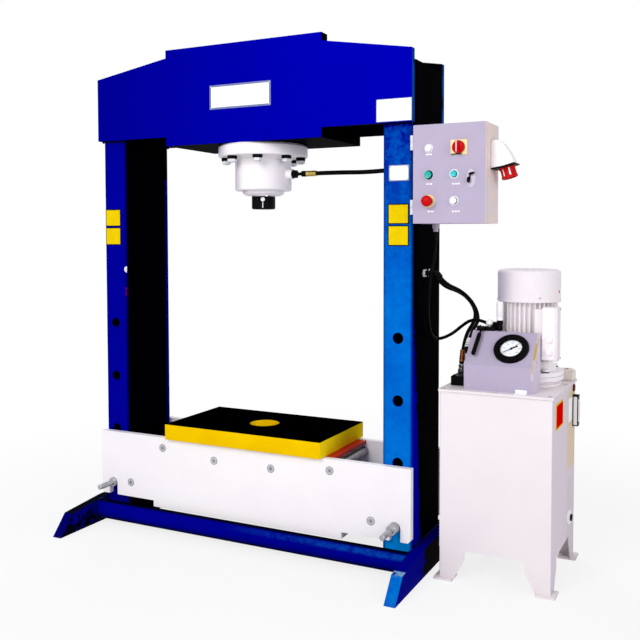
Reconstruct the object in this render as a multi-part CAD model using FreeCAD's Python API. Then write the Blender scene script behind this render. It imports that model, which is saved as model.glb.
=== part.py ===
import FreeCAD, Part
import math
import os

# Hydraulic H-frame workshop press with its power unit. Millimetres, Z up from the floor,
# X across the press, Y to the back. Pieces are drawn about the ram's axis and then shifted
# by pressX, so that the whole machine is centred on the origin.

V = FreeCAD.Vector
axisX = V(1, 0, 0)
axisY = V(0, 1, 0)
axisZ = V(0, 0, 1)

# Driving dimensions: frame

halfWidth = 700.0            # ram axis to an upright's outer face
halfDepth = 146.0            # ram axis to an upright's front or rear face
uprightTop = 1825.0
uprightWidth = 124.0
uprightWall = 12.0
pinInset = 60.0              # outer face to the pin holes
pinRadius = 19.5
pinHoleRadius = 20.5
lowestPin = 172.0
pinPitch = 224.6
pinRows = 4
hoseEntry = (7.0, 1445.0, 24.0)   # y, z and radius of the hole for the cylinder's hose

headPlate = 25.0
headEndTop = 1859.0
headMidTop = 1917.0
headBottom = 1605.0
headBarHalf = 349.0
headBarDepth = 48.0
headBarTop = 1948.0
headBarBottom = 1569.0

footWidth = 41.0
footReach = 419.0
footShoulder = 352.0
footTop = 100.0
footShoulderTop = 80.0
footShell = 8.0
tubeRadius = 38.0
tubeWall = 4.0
tubeZ = 56.0

# Bed, table and pins

bedGap = 2.0
bedPlate = 25.0
bedTop = 388.0
bedEndBottom = 122.0
bedMidBottom = 97.0
bedBarHalf = 429.0
bedBarDepth = 56.0
spacerRadius = 16.0
spacerPlaces = ((-547, 182), (-381, 345), (-130, 322), (130, 322), (381, 345), (547, 182))
crossBarIn, crossBarOut = 350.0, 386.0
crossBarThick = 12.0
tableHalfX = 352.0
tableHalfY = 194.0
tableThick = 63.0
tableBore = 60.0
seatGap = 0.5                # pin to the crown of the notch that rests on it
pinLength = 480.0
pinGrip = 80.0
pinGripRadius = 10.5
leftPinOut, rightPinOut = 260.0, 290.0

# Cylinder and ram

boreRadius = 85.0
barrelRadius = 112.5
rodRadius = 45.0
noseRadius = 47.0
spigotRadius = 30.0
spigotDepth = 28.0
runningGap = 0.05
noseTip = 1317.0
noseTop = 1368.0
lipBottom = 1371.0
lipRadius = 82.5
barrelBottom = 1390.0
glandTop = 1440.0
pistonTop = 1871.0
pistonThick = 75.0
sealDepth = 1.5
boreTop = 1885.0
capTop = 1935.0
flangeRadius = 178.0
flangeThick = 47.0
boltCircle = 150.0
boltCount = 8
studRadius = 12.0
studHole = studRadius + 0.2
lowerPortZ = 1453.0
upperPortZ = 1877.0
bossRadius = 20.0
bossFace = 136.0
portRadius = 6.0

# Control box

boxLeft = 703.0
boxRight = 962.0
boxFront = -170.0
boxBack = -12.0
boxBottom = 1252.0
boxTop = 1590.0
boxSheet = 2.0
doorDepth = 20.0
hingeX = 698.0
hingeY = -165.0
hingeRows = (1283.0, 1505.0)
hingeHeight = 50.0
hingeRadius = 5.0
hingePin = 2.0
glandX = 746.0
glandY = -50.0
inletY = -63.0
deviceLeft, deviceRight, switchX = 762.0, 853.0, 869.0
rowTop, rowMid, rowLow = 1508.0, 1418.0, 1328.0
lockX, lockZ = 911.0, 1403.0
deviceHole = 11.0
lockHole = 9.0
stemRadius = 10.0
switchShaft = 4.0

# Tank, lid and console

tankLeft = 790.0
tankRight = 1181.0
tankFront = -125.0
tankRear = 290.0
tankTop = 674.0
tankBottom = 110.0
tankSheet = 4.0
lidThick = 8.0
lidLip = 6.0
legTop, legFoot = 91.0, 50.0
legShoulder = 32.0
padSize = 66.0
padOut = 16.0
padThick = 8.0
padHole = 7.0
padHoleShift = 12.0
drainY, drainZ = 170.0, 185.0
fillerPlace = (838.0, 228.0)
gaugeReach = 23.0            # how far the level glass stands out of the tank's side
levelY, levelHalf = 252.0, 17.0
levelLow, levelHigh = 506.0, 621.0
consoleLeft, consoleRight = 869.0, 1110.0
consoleFront = -100.0
lipTop = 762.0
slopeTopY, slopeTopZ = 8.0, 870.0
consoleSheet = 3.0
gaugeX = 1022.0

# Motor and valve

motorX = 1041.0
motorY = 130.0
motorFlangeRadius = 125.0
motorFlangeLow, motorFlangeHigh = 711.0, 727.0
motorBoltRadius = 110.0
coreRadius = 84.0
finRadius = 102.0
finCount = 36
housingTop = 985.0
cowlRadius = 112.0
cowlLow, cowlTop = 975.0, 1088.0
shaftRadius = 14.0
couplingTop = 704.0
valveTop = 884.0
valveLeft, valveRight = 881.0, 943.0
leverX, leverY, leverZ = 903.0, 2.0, 878.0
knobX, knobY = 923.0, 30.0

# Hoses, pipe and cable, each a list of corners

hoseRadius = 7.0
cylinderHoseRadius = 8.5
pipeRadius = 6.0
cableRadius = 6.0
ferruleRadius = 9.5
ferruleLength = 30.0
unionZ = 1075.0
unionRows = (-48.0, 10.0)
unionHole = 14.0
riserX = 650.0
riserTops = (1122.0, 1110.0)
lowerKnee = (722.0, unionRows[1], unionZ)
upperKnee = (752.0, unionRows[0], unionZ)
cylinderHose = [(238, 0, 1453), (340, 0, 1453), (450, 3, 1450), (560, 6, 1456), (613, 9, 1430),
                (641, 10, 1378), (651, 10, 1290), (650, 10, 1200), (650, 10, 1122)]
upperPipe = [(166, 0, 1877), (300, 0, 1877), (560, -48, 1877), (650, -48, 1790), (650, -48, 1110)]
lowerCorners = [(724, 83, 1023), (779, 155, 996), (821, 167, 952), (843, 140, 900), (820, 62, 841),
                (816, 50, 768)]
upperCorners = [(759, 25, 1032), (791, 115, 1004), (834, 137, 954), (862, 109, 898), (855, 38, 863),
                (856, -8, 822)]
controlCable = [(746, -50, 1224), (746, -50, 1150), (734, -77, 1064), (722, -64, 970), (714, -40, 902),
                (710, 9, 836), (725, 60, 824), (762, 95, 842), (803, 93, 877), (843, 61, 901),
                (883, 53, 904), (916, 58, 889)]

leftReach = halfWidth + footWidth
rightReach = tankRight + gaugeReach
pressX = (leftReach - rightReach) / 2


# Small building blocks

def block(x0, x1, y0, y1, z0, z1):
    return Part.makeBox(x1 - x0, y1 - y0, z1 - z0, V(x0, y0, z0))


def rod(radius, start, end):
    start = V(*start)
    line = V(*end) - start
    return Part.makeCylinder(radius, line.Length, start, line)


def ring(outer, inner, start, end):
    return rod(outer, start, end).cut(rod(inner, start, end))


def hexBar(acrossFlats, start, end):
    # A hexagonal bar along a line, for nuts and fittings.
    start = V(*start)
    line = V(*end) - start
    radius = acrossFlats / math.sqrt(3)
    corners = [V(radius * math.cos(math.radians(60 * i)), radius * math.sin(math.radians(60 * i)), 0)
               for i in range(7)]
    bar = Part.Face(Part.makePolygon(corners)).extrude(V(0, 0, line.Length))
    bar.Placement = FreeCAD.Placement(start, FreeCAD.Rotation(axisZ, line))
    return bar


def prismY(points, y0, y1):
    # An outline of (x, z) points, run from y0 to y1.
    corners = [V(x, y0, z) for x, z in points + points[:1]]
    return Part.Face(Part.makePolygon(corners)).extrude(V(0, y1 - y0, 0))


def prismX(points, x0, x1):
    # An outline of (y, z) points, run from x0 to x1.
    corners = [V(x0, y, z) for y, z in points + points[:1]]
    return Part.Face(Part.makePolygon(corners)).extrude(V(x1 - x0, 0, 0))


def turned(profile, x=0.0, y=0.0):
    # An outline of (radius, z) points, turned about a vertical axis.
    corners = [V(x + r, y, z) for r, z in profile + profile[:1]]
    return Part.Face(Part.makePolygon(corners)).revolve(V(x, y, 0), axisZ, 360)


def routeWire(name, points):
    # Straight runs joined by tangent arcs; prints the tightest bend.
    points = [V(*p) for p in points]
    edges = []
    start = points[0]
    tightest = 1e9
    for i in range(1, len(points) - 1):
        before = points[i - 1] - points[i]
        after = points[i + 1] - points[i]
        half = (math.pi - before.getAngle(after)) / 2
        cut = 0.45 * min(before.Length, after.Length)
        radius = cut / math.tan(half)
        tightest = min(tightest, radius)
        before.normalize()
        after.normalize()
        first = points[i] + before * cut
        last = points[i] + after * cut
        inward = (before + after).normalize()
        middle = points[i] + inward * (radius / math.cos(half) - radius)
        edges.append(Part.LineSegment(start, first).toShape())
        edges.append(Part.Arc(first, middle, last).toShape())
        start = last
    edges.append(Part.LineSegment(start, points[-1]).toShape())
    wire = Part.Wire(edges)
    print(name, "length", round(wire.Length), "tightest bend", round(tightest))
    return wire


def fromKnee(knee, points):
    # The route starts at the end of the ferrule that points at the first corner.
    heading = (V(*points[0]) - V(*knee)).normalize()
    return [tuple(V(*knee) + heading * ferruleLength)] + points


def lastHeading(points):
    return (V(*points[-1]) - V(*points[-2])).normalize()


lowerLine = fromKnee(lowerKnee, lowerCorners)
upperLine = fromKnee(upperKnee, upperCorners)


def tube(name, points, radius):
    # A round hose, pipe or cable along a route, compared with its section times its length.
    wire = routeWire(name, points)
    first = V(*points[0])
    heading = V(*points[1]) - first
    disc = Part.Wire(Part.makeCircle(radius, first, heading))
    body = wire.makePipeShell([disc], True, False)
    print(name, "volume ratio", round(body.Volume / (math.pi * radius ** 2 * wire.Length), 3))
    return body


def uprightEdges(shape, radius, keep):
    # Rounds the vertical edges that pass the test keep(x, y).
    edges = [e for e in shape.Edges
             if len(e.Vertexes) == 2 and abs(e.Vertexes[0].X - e.Vertexes[1].X) < 1e-6
             and abs(e.Vertexes[0].Y - e.Vertexes[1].Y) < 1e-6
             and keep(e.Vertexes[0].X, e.Vertexes[0].Y)]
    return shape.makeFillet(radius, edges)


def joined(shapes):
    whole = shapes[0].multiFuse(shapes[1:])
    return whole.removeSplitter()


def mirrorX(shape):
    return shape.mirror(V(0, 0, 0), axisX)


def mirrorY(shape):
    return shape.mirror(V(0, 0, 0), axisY)


def save(name, shape):
    solids = [s.copy() for s in shape.Solids]
    placed = solids[0] if len(solids) == 1 else Part.makeCompound(solids)
    placed.translate(V(pressX, 0, 0))
    placed.exportStep("parts/" + name + ".step")


# The frame: uprights, head, feet and cross tubes

def pinHeights():
    return [lowestPin + pinPitch * row for row in range(pinRows)]


def upright():
    # The right upright, a rectangular tube with rounded corners and a row of pin holes.
    wall = uprightWall
    inner = halfWidth - uprightWidth
    outside = block(inner, halfWidth, -halfDepth, halfDepth, 0, uprightTop)
    outside = uprightEdges(outside, 2 * wall, lambda x, y: True)
    hollow = block(inner + wall, halfWidth - wall, wall - halfDepth, halfDepth - wall, -1, uprightTop + 1)
    hollow = uprightEdges(hollow, wall, lambda x, y: True)
    column = outside.cut(hollow)
    x = halfWidth - pinInset
    for z in pinHeights():
        column = column.cut(rod(pinHoleRadius, (x, -halfDepth - 1, z), (x, halfDepth + 1, z)))
    return column


def rightUpright():
    # The right one lets the cylinder's hose in and carries the two bulkhead unions.
    column = upright()
    for y in unionRows:
        column = column.cut(rod(unionHole, (riserX, y, unionZ), (halfWidth + 1, y, unionZ)))
    y, z, radius = hoseEntry
    inner = halfWidth - uprightWidth
    return column.cut(rod(radius, (inner - 1, y, z), (inner + uprightWall + 1, y, z)))


def headPlateFront():
    # Outer plate with its top bar and bottom bar, which stiffen the middle of the head.
    face = -halfDepth - headPlate
    outline = [(-halfWidth, headBottom), (halfWidth, headBottom), (halfWidth, headEndTop),
               (headBarHalf, headMidTop), (-headBarHalf, headMidTop), (-halfWidth, headEndTop)]
    plate = prismY(outline, face, -halfDepth)
    back = face + headBarDepth
    topBar = block(-headBarHalf, headBarHalf, face, back, headMidTop, headBarTop)
    lowBar = block(-headBarHalf, headBarHalf, face, back, headBarBottom, headBottom)
    whole = joined([plate, topBar, lowBar])
    return drilled(whole, studHole, headBarBottom - 1, headBottom - 3)


def boltPlaces():
    angles = [math.radians(360 * (i + 0.5) / boltCount) for i in range(boltCount)]
    return [(boltCircle * math.cos(a), boltCircle * math.sin(a)) for a in angles]


def drilled(shape, radius, z0, z1):
    # Holes on the cylinder's bolt circle.
    for x, y in boltPlaces():
        shape = shape.cut(rod(radius, (x, y, z0), (x, y, z1)))
    return shape


def cylinderSeat():
    # The plate between the two bottom bars that the cylinder's flange is bolted up to.
    inner = halfDepth + headPlate - headBarDepth
    seat = block(-headBarHalf, headBarHalf, -inner, inner, headBarBottom, headBottom)
    seat = seat.cut(rod(barrelRadius + 1, (0, 0, headBarBottom - 1), (0, 0, headBottom + 1)))
    return drilled(seat, studHole, headBarBottom - 1, headBottom - 3)


def foot():
    # The right foot: a folded shell, open below, whose two ends taper down to the floor.
    t = footShell
    low, high = footShoulderTop, footTop
    outline = [(-footReach, 0), (-footShoulder, low), (-halfDepth, high), (halfDepth, high),
               (footShoulder, low), (footReach, 0)]
    inner = [(2 * t - footReach, -1), (t - footShoulder, low - t), (-halfDepth, high - t),
             (halfDepth, high - t), (footShoulder - t, low - t), (footReach - 2 * t, -1)]
    shell = prismX(outline, halfWidth, halfWidth + footWidth)
    return shell.cut(prismX(inner, halfWidth + footShell, halfWidth + footWidth - footShell))


def crossTube():
    y = -halfDepth - tubeRadius
    return ring(tubeRadius, tubeRadius - tubeWall, (-halfWidth, y, tubeZ), (halfWidth, y, tubeZ))


# The cylinder and the ram

def barrel():
    # Tube, mounting flange, port bosses and the welded top cap.
    bore = boreRadius + runningGap
    flangeTop = headBarBottom
    flangeBottom = flangeTop - flangeThick
    outline = [(bore, barrelBottom), (barrelRadius - 4, barrelBottom),
               (barrelRadius, barrelBottom + 4), (barrelRadius, flangeBottom - 12),
               (barrelRadius + 12, flangeBottom), (flangeRadius - 3, flangeBottom),
               (flangeRadius, flangeBottom + 3), (flangeRadius, flangeTop - 8),
               (flangeRadius - 8, flangeTop), (barrelRadius, flangeTop), (barrelRadius, capTop - 6),
               (barrelRadius - 6, capTop),
               (0, capTop), (0, boreTop), (bore, boreTop)]
    body = turned(outline)
    for z in (lowerPortZ, upperPortZ):
        boss = rod(bossRadius, (barrelRadius - 8, 0, z), (bossFace, 0, z))
        body = body.fuse(boss)
    body = body.cut(rod(bore, (0, 0, glandTop), (0, 0, boreTop)))
    for z in (lowerPortZ, upperPortZ):
        body = body.cut(rod(portRadius, (boreRadius - 8, 0, z), (bossFace + 1, 0, z)))
    body = drilled(body, studHole + 0.8, flangeBottom - 1, flangeTop + 1)
    return body.removeSplitter()


def gland():
    # The bush that guides the rod, with its seals and the wiper lip below the barrel.
    bore = rodRadius + runningGap
    outline = [(bore, lipBottom), (lipRadius - 12, lipBottom), (lipRadius, lipBottom + 8),
               (lipRadius, barrelBottom),
               (boreRadius, barrelBottom), (boreRadius, glandTop), (bore, glandTop)]
    return turned(outline)


def cylinderBolts():
    # Studs in the seat and the bars, each with a washer and a nut below the flange.
    flangeBottom = headBarBottom - flangeThick
    bolts = []
    for x, y in boltPlaces():
        stud = rod(studRadius, (x, y, flangeBottom - 27), (x, y, headBottom - 4))
        washer = rod(22, (x, y, flangeBottom - 3), (x, y, flangeBottom))
        nut = hexBar(36, (x, y, flangeBottom - 22), (x, y, flangeBottom - 3))
        bolts.append(joined([stud, washer, nut]))
    return Part.makeCompound(bolts)


def ramRod():
    # Chromed rod with a spigot for the nose below and a spigot for the piston above.
    pistonLow = pistonTop - pistonThick
    spigotLow = noseTop - spigotDepth
    outline = [(0, spigotLow), (spigotRadius, spigotLow), (spigotRadius, noseTop), (rodRadius, noseTop),
               (rodRadius, pistonLow), (spigotRadius, pistonLow), (spigotRadius, pistonTop - 4),
               (0, pistonTop - 4)]
    return turned(outline)


def ramPiston():
    # Piston with two seals, which stand in shallow grooves between its three lands.
    low = pistonTop - pistonThick
    high = pistonTop
    edge = boreRadius
    groove = boreRadius - sealDepth
    outline = [(spigotRadius, low), (edge - 3, low), (edge, low + 3), (edge, low + 16), (groove, low + 16),
               (groove, low + 28), (edge, low + 28), (edge, high - 28), (groove, high - 28),
               (groove, high - 16), (edge, high - 16), (edge, high - 3), (edge - 3, high),
               (spigotRadius, high)]
    return turned(outline)


def ramNose():
    # The hardened end piece on the rod's spigot, with a flat and the clamp screw in it.
    outline = [(0, noseTip), (noseRadius - 4, noseTip), (noseRadius, noseTip + 4), (noseRadius, noseTop),
               (spigotRadius, noseTop), (spigotRadius, noseTop - spigotDepth),
               (0, noseTop - spigotDepth)]
    nose = turned(outline)
    flat = block(-14, 14, -noseRadius - 1, -noseRadius + 3, noseTop - 24, noseTop + 1)
    screw = rod(7, (0, -noseRadius - 1, noseTop - 12), (0, -noseRadius + 5, noseTop - 12))
    return joined([nose.cut(flat), screw])


# The bed, its table and the two pins

def bedPlateFront():
    # Front plate with its bottom bar and the two notches that sit on the pins.
    back = -halfDepth - bedGap
    face = back - bedPlate
    outline = [(-halfWidth + 10, bedEndBottom), (halfWidth - 10, bedEndBottom),
               (halfWidth, bedEndBottom + 10), (halfWidth, bedTop), (-halfWidth, bedTop),
               (-halfWidth, bedEndBottom + 10)]
    plate = prismY(outline, face, back)
    bar = block(-bedBarHalf, bedBarHalf, face, face + bedBarDepth, bedMidBottom, bedEndBottom)
    whole = joined([plate, bar])
    radius = pinRadius + 2
    crown = lowestPin + pinRadius + seatGap - radius
    for side in (-1, 1):
        x = side * (halfWidth - pinInset)
        whole = whole.cut(rod(radius, (x, face - 1, crown), (x, back + 1, crown)))
        whole = whole.cut(block(x - radius, x + radius, face - 1, back + 1, bedEndBottom - 1, crown))
    for x, z in spacerPlaces:
        whole = whole.cut(rod(spacerRadius, (x, face - 1, z), (x, back + 1, z)))
    return whole


def bedSpacers():
    # Round bars between the two plates, set into them, with ends that just show outside.
    reach = halfDepth + bedGap + bedPlate + 0.5
    return Part.makeCompound([rod(spacerRadius, (x, -reach, z), (x, reach, z)) for x, z in spacerPlaces])


def crossBars():
    # Two flat bars across the bed, flush with its top, under the table's ends.
    reach = halfDepth + bedGap
    bar = block(crossBarIn, crossBarOut, -reach, reach, bedTop - crossBarThick, bedTop)
    return Part.makeCompound([bar, mirrorX(bar)])


def tablePlate():
    plate = block(-tableHalfX, tableHalfX, -tableHalfY, tableHalfY, bedTop, bedTop + tableThick)
    plate = plate.makeChamfer(2.5, plate.Edges)
    return plate.cut(rod(tableBore, (0, 0, bedTop - 1), (0, 0, bedTop + tableThick + 1)))


def supportPin(side, out):
    # A turned pin that lies through both flanges, with a thinner grip end in front.
    grip, end = pinGripRadius, pinLength
    profile = [(0, 0), (grip - 2, 0), (grip, 2), (grip, pinGrip), (pinRadius - 3, pinGrip),
               (pinRadius, pinGrip + 3), (pinRadius, end - 6), (pinRadius - 6, end), (0, end)]
    pin = turned(profile)
    pin.Placement = FreeCAD.Placement(V(side * (halfWidth - pinInset), -out, lowestPin),
                                      FreeCAD.Rotation(axisX, -90))
    return pin


# The control box

def boxShell():
    # Folded case, open in front, with spacer bars behind it, hinge halves and the cable gland.
    front = boxFront + doorDepth + 1
    outside = block(boxLeft, boxRight, front, boxBack, boxBottom, boxTop)
    inside = block(boxLeft + boxSheet, boxRight - boxSheet, front - 1, boxBack - boxSheet,
                   boxBottom + boxSheet, boxTop - boxSheet)
    case = outside.cut(inside)
    extras = [block(halfWidth, boxLeft + 0.5, -130, -40, z, z + 30) for z in (boxBottom + 40, boxTop - 70)]
    for z in hingeRows:
        knuckle = rod(hingeRadius, (hingeX, hingeY, z), (hingeX, hingeY, z + hingeHeight / 2 - 0.2))
        arm = block(hingeX - 1.5, hingeX + 1.5, hingeY, front + 3, z, z + hingeHeight / 2 - 0.2)
        strap = block(hingeX - 1.5, boxLeft + 1, front, front + 3, z, z + hingeHeight / 2 - 0.2)
        pin = rod(hingePin, (hingeX, hingeY, z), (hingeX, hingeY, z + hingeHeight - 2))
        extras += [knuckle, arm, strap, pin]
    body = hexBar(24, (glandX, glandY, boxBottom - 16), (glandX, glandY, boxBottom))
    nut = hexBar(24, (glandX, glandY, boxBottom + boxSheet), (glandX, glandY, boxBottom + 8))
    dome = rod(9.5, (glandX, glandY, boxBottom - 28), (glandX, glandY, boxBottom - 16))
    return joined([case] + extras + [body, nut, dome])


def deviceHoles():
    places = [(deviceLeft, rowTop), (deviceLeft, rowMid), (deviceRight, rowMid), (deviceLeft, rowLow),
              (deviceRight, rowLow)]
    holes = [(x, z, deviceHole) for x, z in places]
    return holes + [(switchX, rowTop, switchShaft + 1.2), (lockX, lockZ, lockHole)]


def boxDoor():
    # A tray-shaped door with the upper hinge halves on its left edge.
    left = boxLeft + 0.5
    tray = block(left, boxRight, boxFront, boxFront + doorDepth, boxBottom, boxTop)
    tray = uprightEdges(tray, 3, lambda x, y: y < boxFront + 1)
    hollow = block(left + boxSheet, boxRight - boxSheet, boxFront + boxSheet, boxFront + doorDepth + 1,
                   boxBottom + boxSheet, boxTop - boxSheet)
    door = tray.cut(hollow)
    for z in hingeRows:
        low, high = z + hingeHeight / 2 + 0.2, z + hingeHeight
        knuckle = rod(hingeRadius, (hingeX, hingeY, low), (hingeX, hingeY, high))
        leaf = block(hingeX, left + 1, hingeY - 1.5, hingeY + 1.5, low, high)
        door = door.fuse(knuckle).fuse(leaf)
        door = door.cut(rod(hingePin + runningGap, (hingeX, hingeY, low - 1), (hingeX, hingeY, high - 1)))
    for x, z, radius in deviceHoles():
        door = door.cut(rod(radius, (x, boxFront - 1, z), (x, boxFront + boxSheet + 1, z)))
    return door.removeSplitter()


def deviceCollars():
    # Fixed bodies of the push buttons and of the main switch, around and behind their holes.
    pieces = []
    inner = boxFront + boxSheet
    hole = stemRadius + runningGap
    for x, z in ((deviceLeft, rowMid), (deviceRight, rowMid), (deviceLeft, rowLow), (deviceRight, rowLow)):
        rim = rod(15, (x, boxFront - 4, z), (x, boxFront, z))
        neck = rod(deviceHole - 0.1, (x, boxFront, z), (x, inner, z))
        cup = rod(16, (x, inner, z), (x, inner + 14, z))
        contacts = block(x - 15, x + 15, inner + 14, inner + 46, z - 20, z + 20)
        device = joined([rim, neck, cup, contacts])
        pieces.append(device.cut(rod(hole, (x, boxFront - 5, z), (x, inner + 14, z))))
    plate = block(switchX - 29, switchX + 29, boxFront - 3, boxFront, rowTop - 25, rowTop + 25)
    neck = rod(switchShaft + 1, (switchX, boxFront, rowTop), (switchX, inner, rowTop))
    chamber = block(switchX - 22, switchX + 22, inner, inner + 44, rowTop - 22, rowTop + 22)
    switch = joined([plate, neck, chamber])
    bore = switchShaft + runningGap
    shaftHole = rod(bore, (switchX, boxFront - 4, rowTop), (switchX, inner + 12, rowTop))
    pieces.append(switch.cut(shaftHole))
    return Part.makeCompound(pieces)


def pushButton(x, z, capRadius):
    # A moulded cap on the stem that slides in its collar, with room for its travel.
    cap = rod(capRadius, (x, boxFront - 13, z), (x, boxFront - 10, z))
    stem = rod(stemRadius, (x, boxFront - 12, z), (x, boxFront + 8, z))
    return joined([cap, stem])


def emergencyButton():
    # A mushroom head on its stem, with room below the head for its travel.
    profile = [(0, -8), (stemRadius, -8), (stemRadius, 16), (19, 18), (20, 23), (18, 30), (12, 34), (0, 35)]
    head = turned(profile)
    head.Placement = FreeCAD.Placement(V(deviceLeft, boxFront, rowLow), FreeCAD.Rotation(axisX, 90))
    return head


def mainSwitch():
    # The rotary handle: a round skirt with a raised grip across it, on its shaft.
    x, z = switchX, rowTop
    skirt = rod(22, (x, boxFront - 14, z), (x, boxFront - 3.3, z))
    grip = block(x - 5, x + 5, boxFront - 29, boxFront - 13, z - 21, z + 21)
    shaft = rod(switchShaft, (x, boxFront - 4, z), (x, boxFront + 11, z))
    return joined([skirt, grip, shaft])


def signalLamp():
    neck = deviceHole - 0.1
    profile = [(0, -26), (neck, -26), (neck, 0), (15, 0), (15, 3), (10.5, 4), (10.5, 10), (7, 13), (0, 14)]
    lamp = turned(profile)
    lamp.Placement = FreeCAD.Placement(V(deviceLeft, boxFront, rowTop), FreeCAD.Rotation(axisX, 90))
    return lamp


def doorLock():
    # The quarter-turn lock's barrel with its wing grip outside and its cam behind the door.
    x, z = lockX, lockZ
    collar = rod(11, (x, boxFront - 4, z), (x, boxFront - 0.3, z))
    core = rod(lockHole - runningGap, (x, boxFront - 1, z), (x, boxFront + 13, z))
    wing = block(x - 4, x + 4, boxFront - 15, boxFront - 4, z - 16, z + 12)
    cam = block(x - 8, x + 34, boxFront + 13, boxFront + 16, z - 8, z + 8)
    return joined([collar, core, wing, cam])


def relayPanel():
    # The mounting plate inside the case with its studs, three relays and a terminal row.
    plate = block(boxLeft + 22, boxRight - 22, -25, -22, boxBottom + 25, boxTop - 25)
    studs = [rod(4, (x, -24, z), (x, boxBack - boxSheet, z))
             for x in (boxLeft + 34, boxRight - 34) for z in (boxBottom + 40, boxTop - 40)]
    relays = [block(x, x + 45, -86, -24, 1440, 1516) for x in (740, 795, 850)]
    terminals = block(740, 920, -60, -24, 1322, 1368)
    return joined([plate] + studs + relays + [terminals])


def powerInlet():
    # The plug inlet on the case's right side: a hood, open below, and its slanted shroud.
    width = 50.0
    outline = [(boxRight, 1438), (boxRight, 1543), (986, 1543), (1014, 1512), (1045, 1462)]
    hood = prismY(outline, inletY - width, inletY + width)
    hood = hood.makeFillet(9, [e for e in hood.Edges if e.BoundBox.XMax > 980 and e.BoundBox.ZMin > 1470
                               and e.BoundBox.YLength < 1])
    down = V(24, 0, -83).normalize()
    start = V(1004, inletY, 1452)
    shroud = Part.makeCylinder(27, 52, start - down * 4, down)
    mouth = Part.makeCylinder(23.5, 60, start + down * 4, down)
    side = down.cross(axisY)
    pins = []
    for i in range(5):
        angle = math.radians(72 * i)
        place = start + side * (13 * math.cos(angle)) + axisY * (13 * math.sin(angle))
        pins.append(Part.makeCylinder(2.5, 40, place, down))
    whole = joined([hood, shroud]).cut(mouth)
    return joined([whole] + pins)


# The power unit

def padPlaces():
    inset = padSize / 2 - padOut
    return [(x, y) for x in (tankLeft + inset, tankRight - inset)
            for y in (tankFront + inset, tankRear - inset)]


def legGap(low, high, floor):
    # The outline cut out between two legs, seen square to that side.
    shoulder = floor + tankBottom - legShoulder
    return [(low + legFoot, floor), (high - legFoot, floor), (high - legTop, shoulder),
            (high - legTop, tankBottom), (low + legTop, tankBottom), (low + legTop, shoulder)]


def tankBody():
    # A welded sheet tank, open above, whose walls run down into four tapered legs.
    t = tankSheet
    outside = block(tankLeft, tankRight, tankFront, tankRear, padThick / 2, tankTop - lidThick)
    outside = uprightEdges(outside, 5, lambda x, y: True)
    inside = block(tankLeft + t, tankRight - t, tankFront + t, tankRear - t, tankBottom + t, tankTop)
    below = block(tankLeft + t, tankRight - t, tankFront + t, tankRear - t, 0, tankBottom)
    body = outside.cut(inside).cut(below)
    body = body.cut(prismY(legGap(tankLeft, tankRight, 0), tankFront - 1, tankRear + 1))
    body = body.cut(prismX(legGap(tankFront, tankRear, 0), tankLeft - 1, tankRight + 1))
    half = padSize / 2
    pads = [block(x - half, x + half, y - half, y + half, 0, padThick) for x, y in padPlaces()]
    body = joined([body] + pads)
    for x, y in padPlaces():
        hole = padHolePlace(x, y)
        body = body.cut(rod(padHole, (hole[0], hole[1], -1), (hole[0], hole[1], padThick + 1)))
    drain = rod(10, (tankRight - 10, drainY, drainZ), (tankRight + 1, drainY, drainZ))
    return body.cut(drain)


def padHolePlace(x, y):
    # The anchor hole lies inside the leg's corner, where a spanner can reach it.
    middleX = (tankLeft + tankRight) / 2
    middleY = (tankFront + tankRear) / 2
    shift = padHoleShift
    return (x + math.copysign(shift, middleX - x), y + math.copysign(shift, middleY - y))


def tankLid():
    # The lid, with the motor's opening and the filler's neck and strainer.
    lid = block(tankLeft - lidLip, tankRight + lidLip, tankFront - lidLip, tankRear + lidLip,
                tankTop - lidThick, tankTop)
    lid = uprightEdges(lid, 6, lambda x, y: True)
    x, y = fillerPlace
    neck = rod(34, (x, y, tankTop - 1), (x, y, tankTop + 6))
    basket = rod(19.5, (x, y, tankTop - 80), (x, y, tankTop - 1))
    lid = joined([lid, neck, basket])
    lid = lid.cut(rod(15, (x, y, tankTop - 81), (x, y, tankTop + 7)))
    return lid.cut(rod(95, (motorX, motorY, tankTop - lidThick - 1), (motorX, motorY, tankTop + 1)))


def fillerCap():
    # A breather cap with eight finger grooves; its plug hangs in the neck.
    x, y = fillerPlace
    outline = [(0, tankTop - 4), (14.6, tankTop - 4), (14.6, tankTop + 6.3), (30, tankTop + 6.3),
               (33, tankTop + 10), (33, tankTop + 34), (29, tankTop + 40), (0, tankTop + 40)]
    cap = turned(outline, x, y)
    for i in range(8):
        angle = math.radians(45 * i)
        px, py = x + 34.5 * math.cos(angle), y + 34.5 * math.sin(angle)
        cap = cap.cut(rod(3, (px, py, tankTop + 12), (px, py, tankTop + 41)))
    return cap


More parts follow.
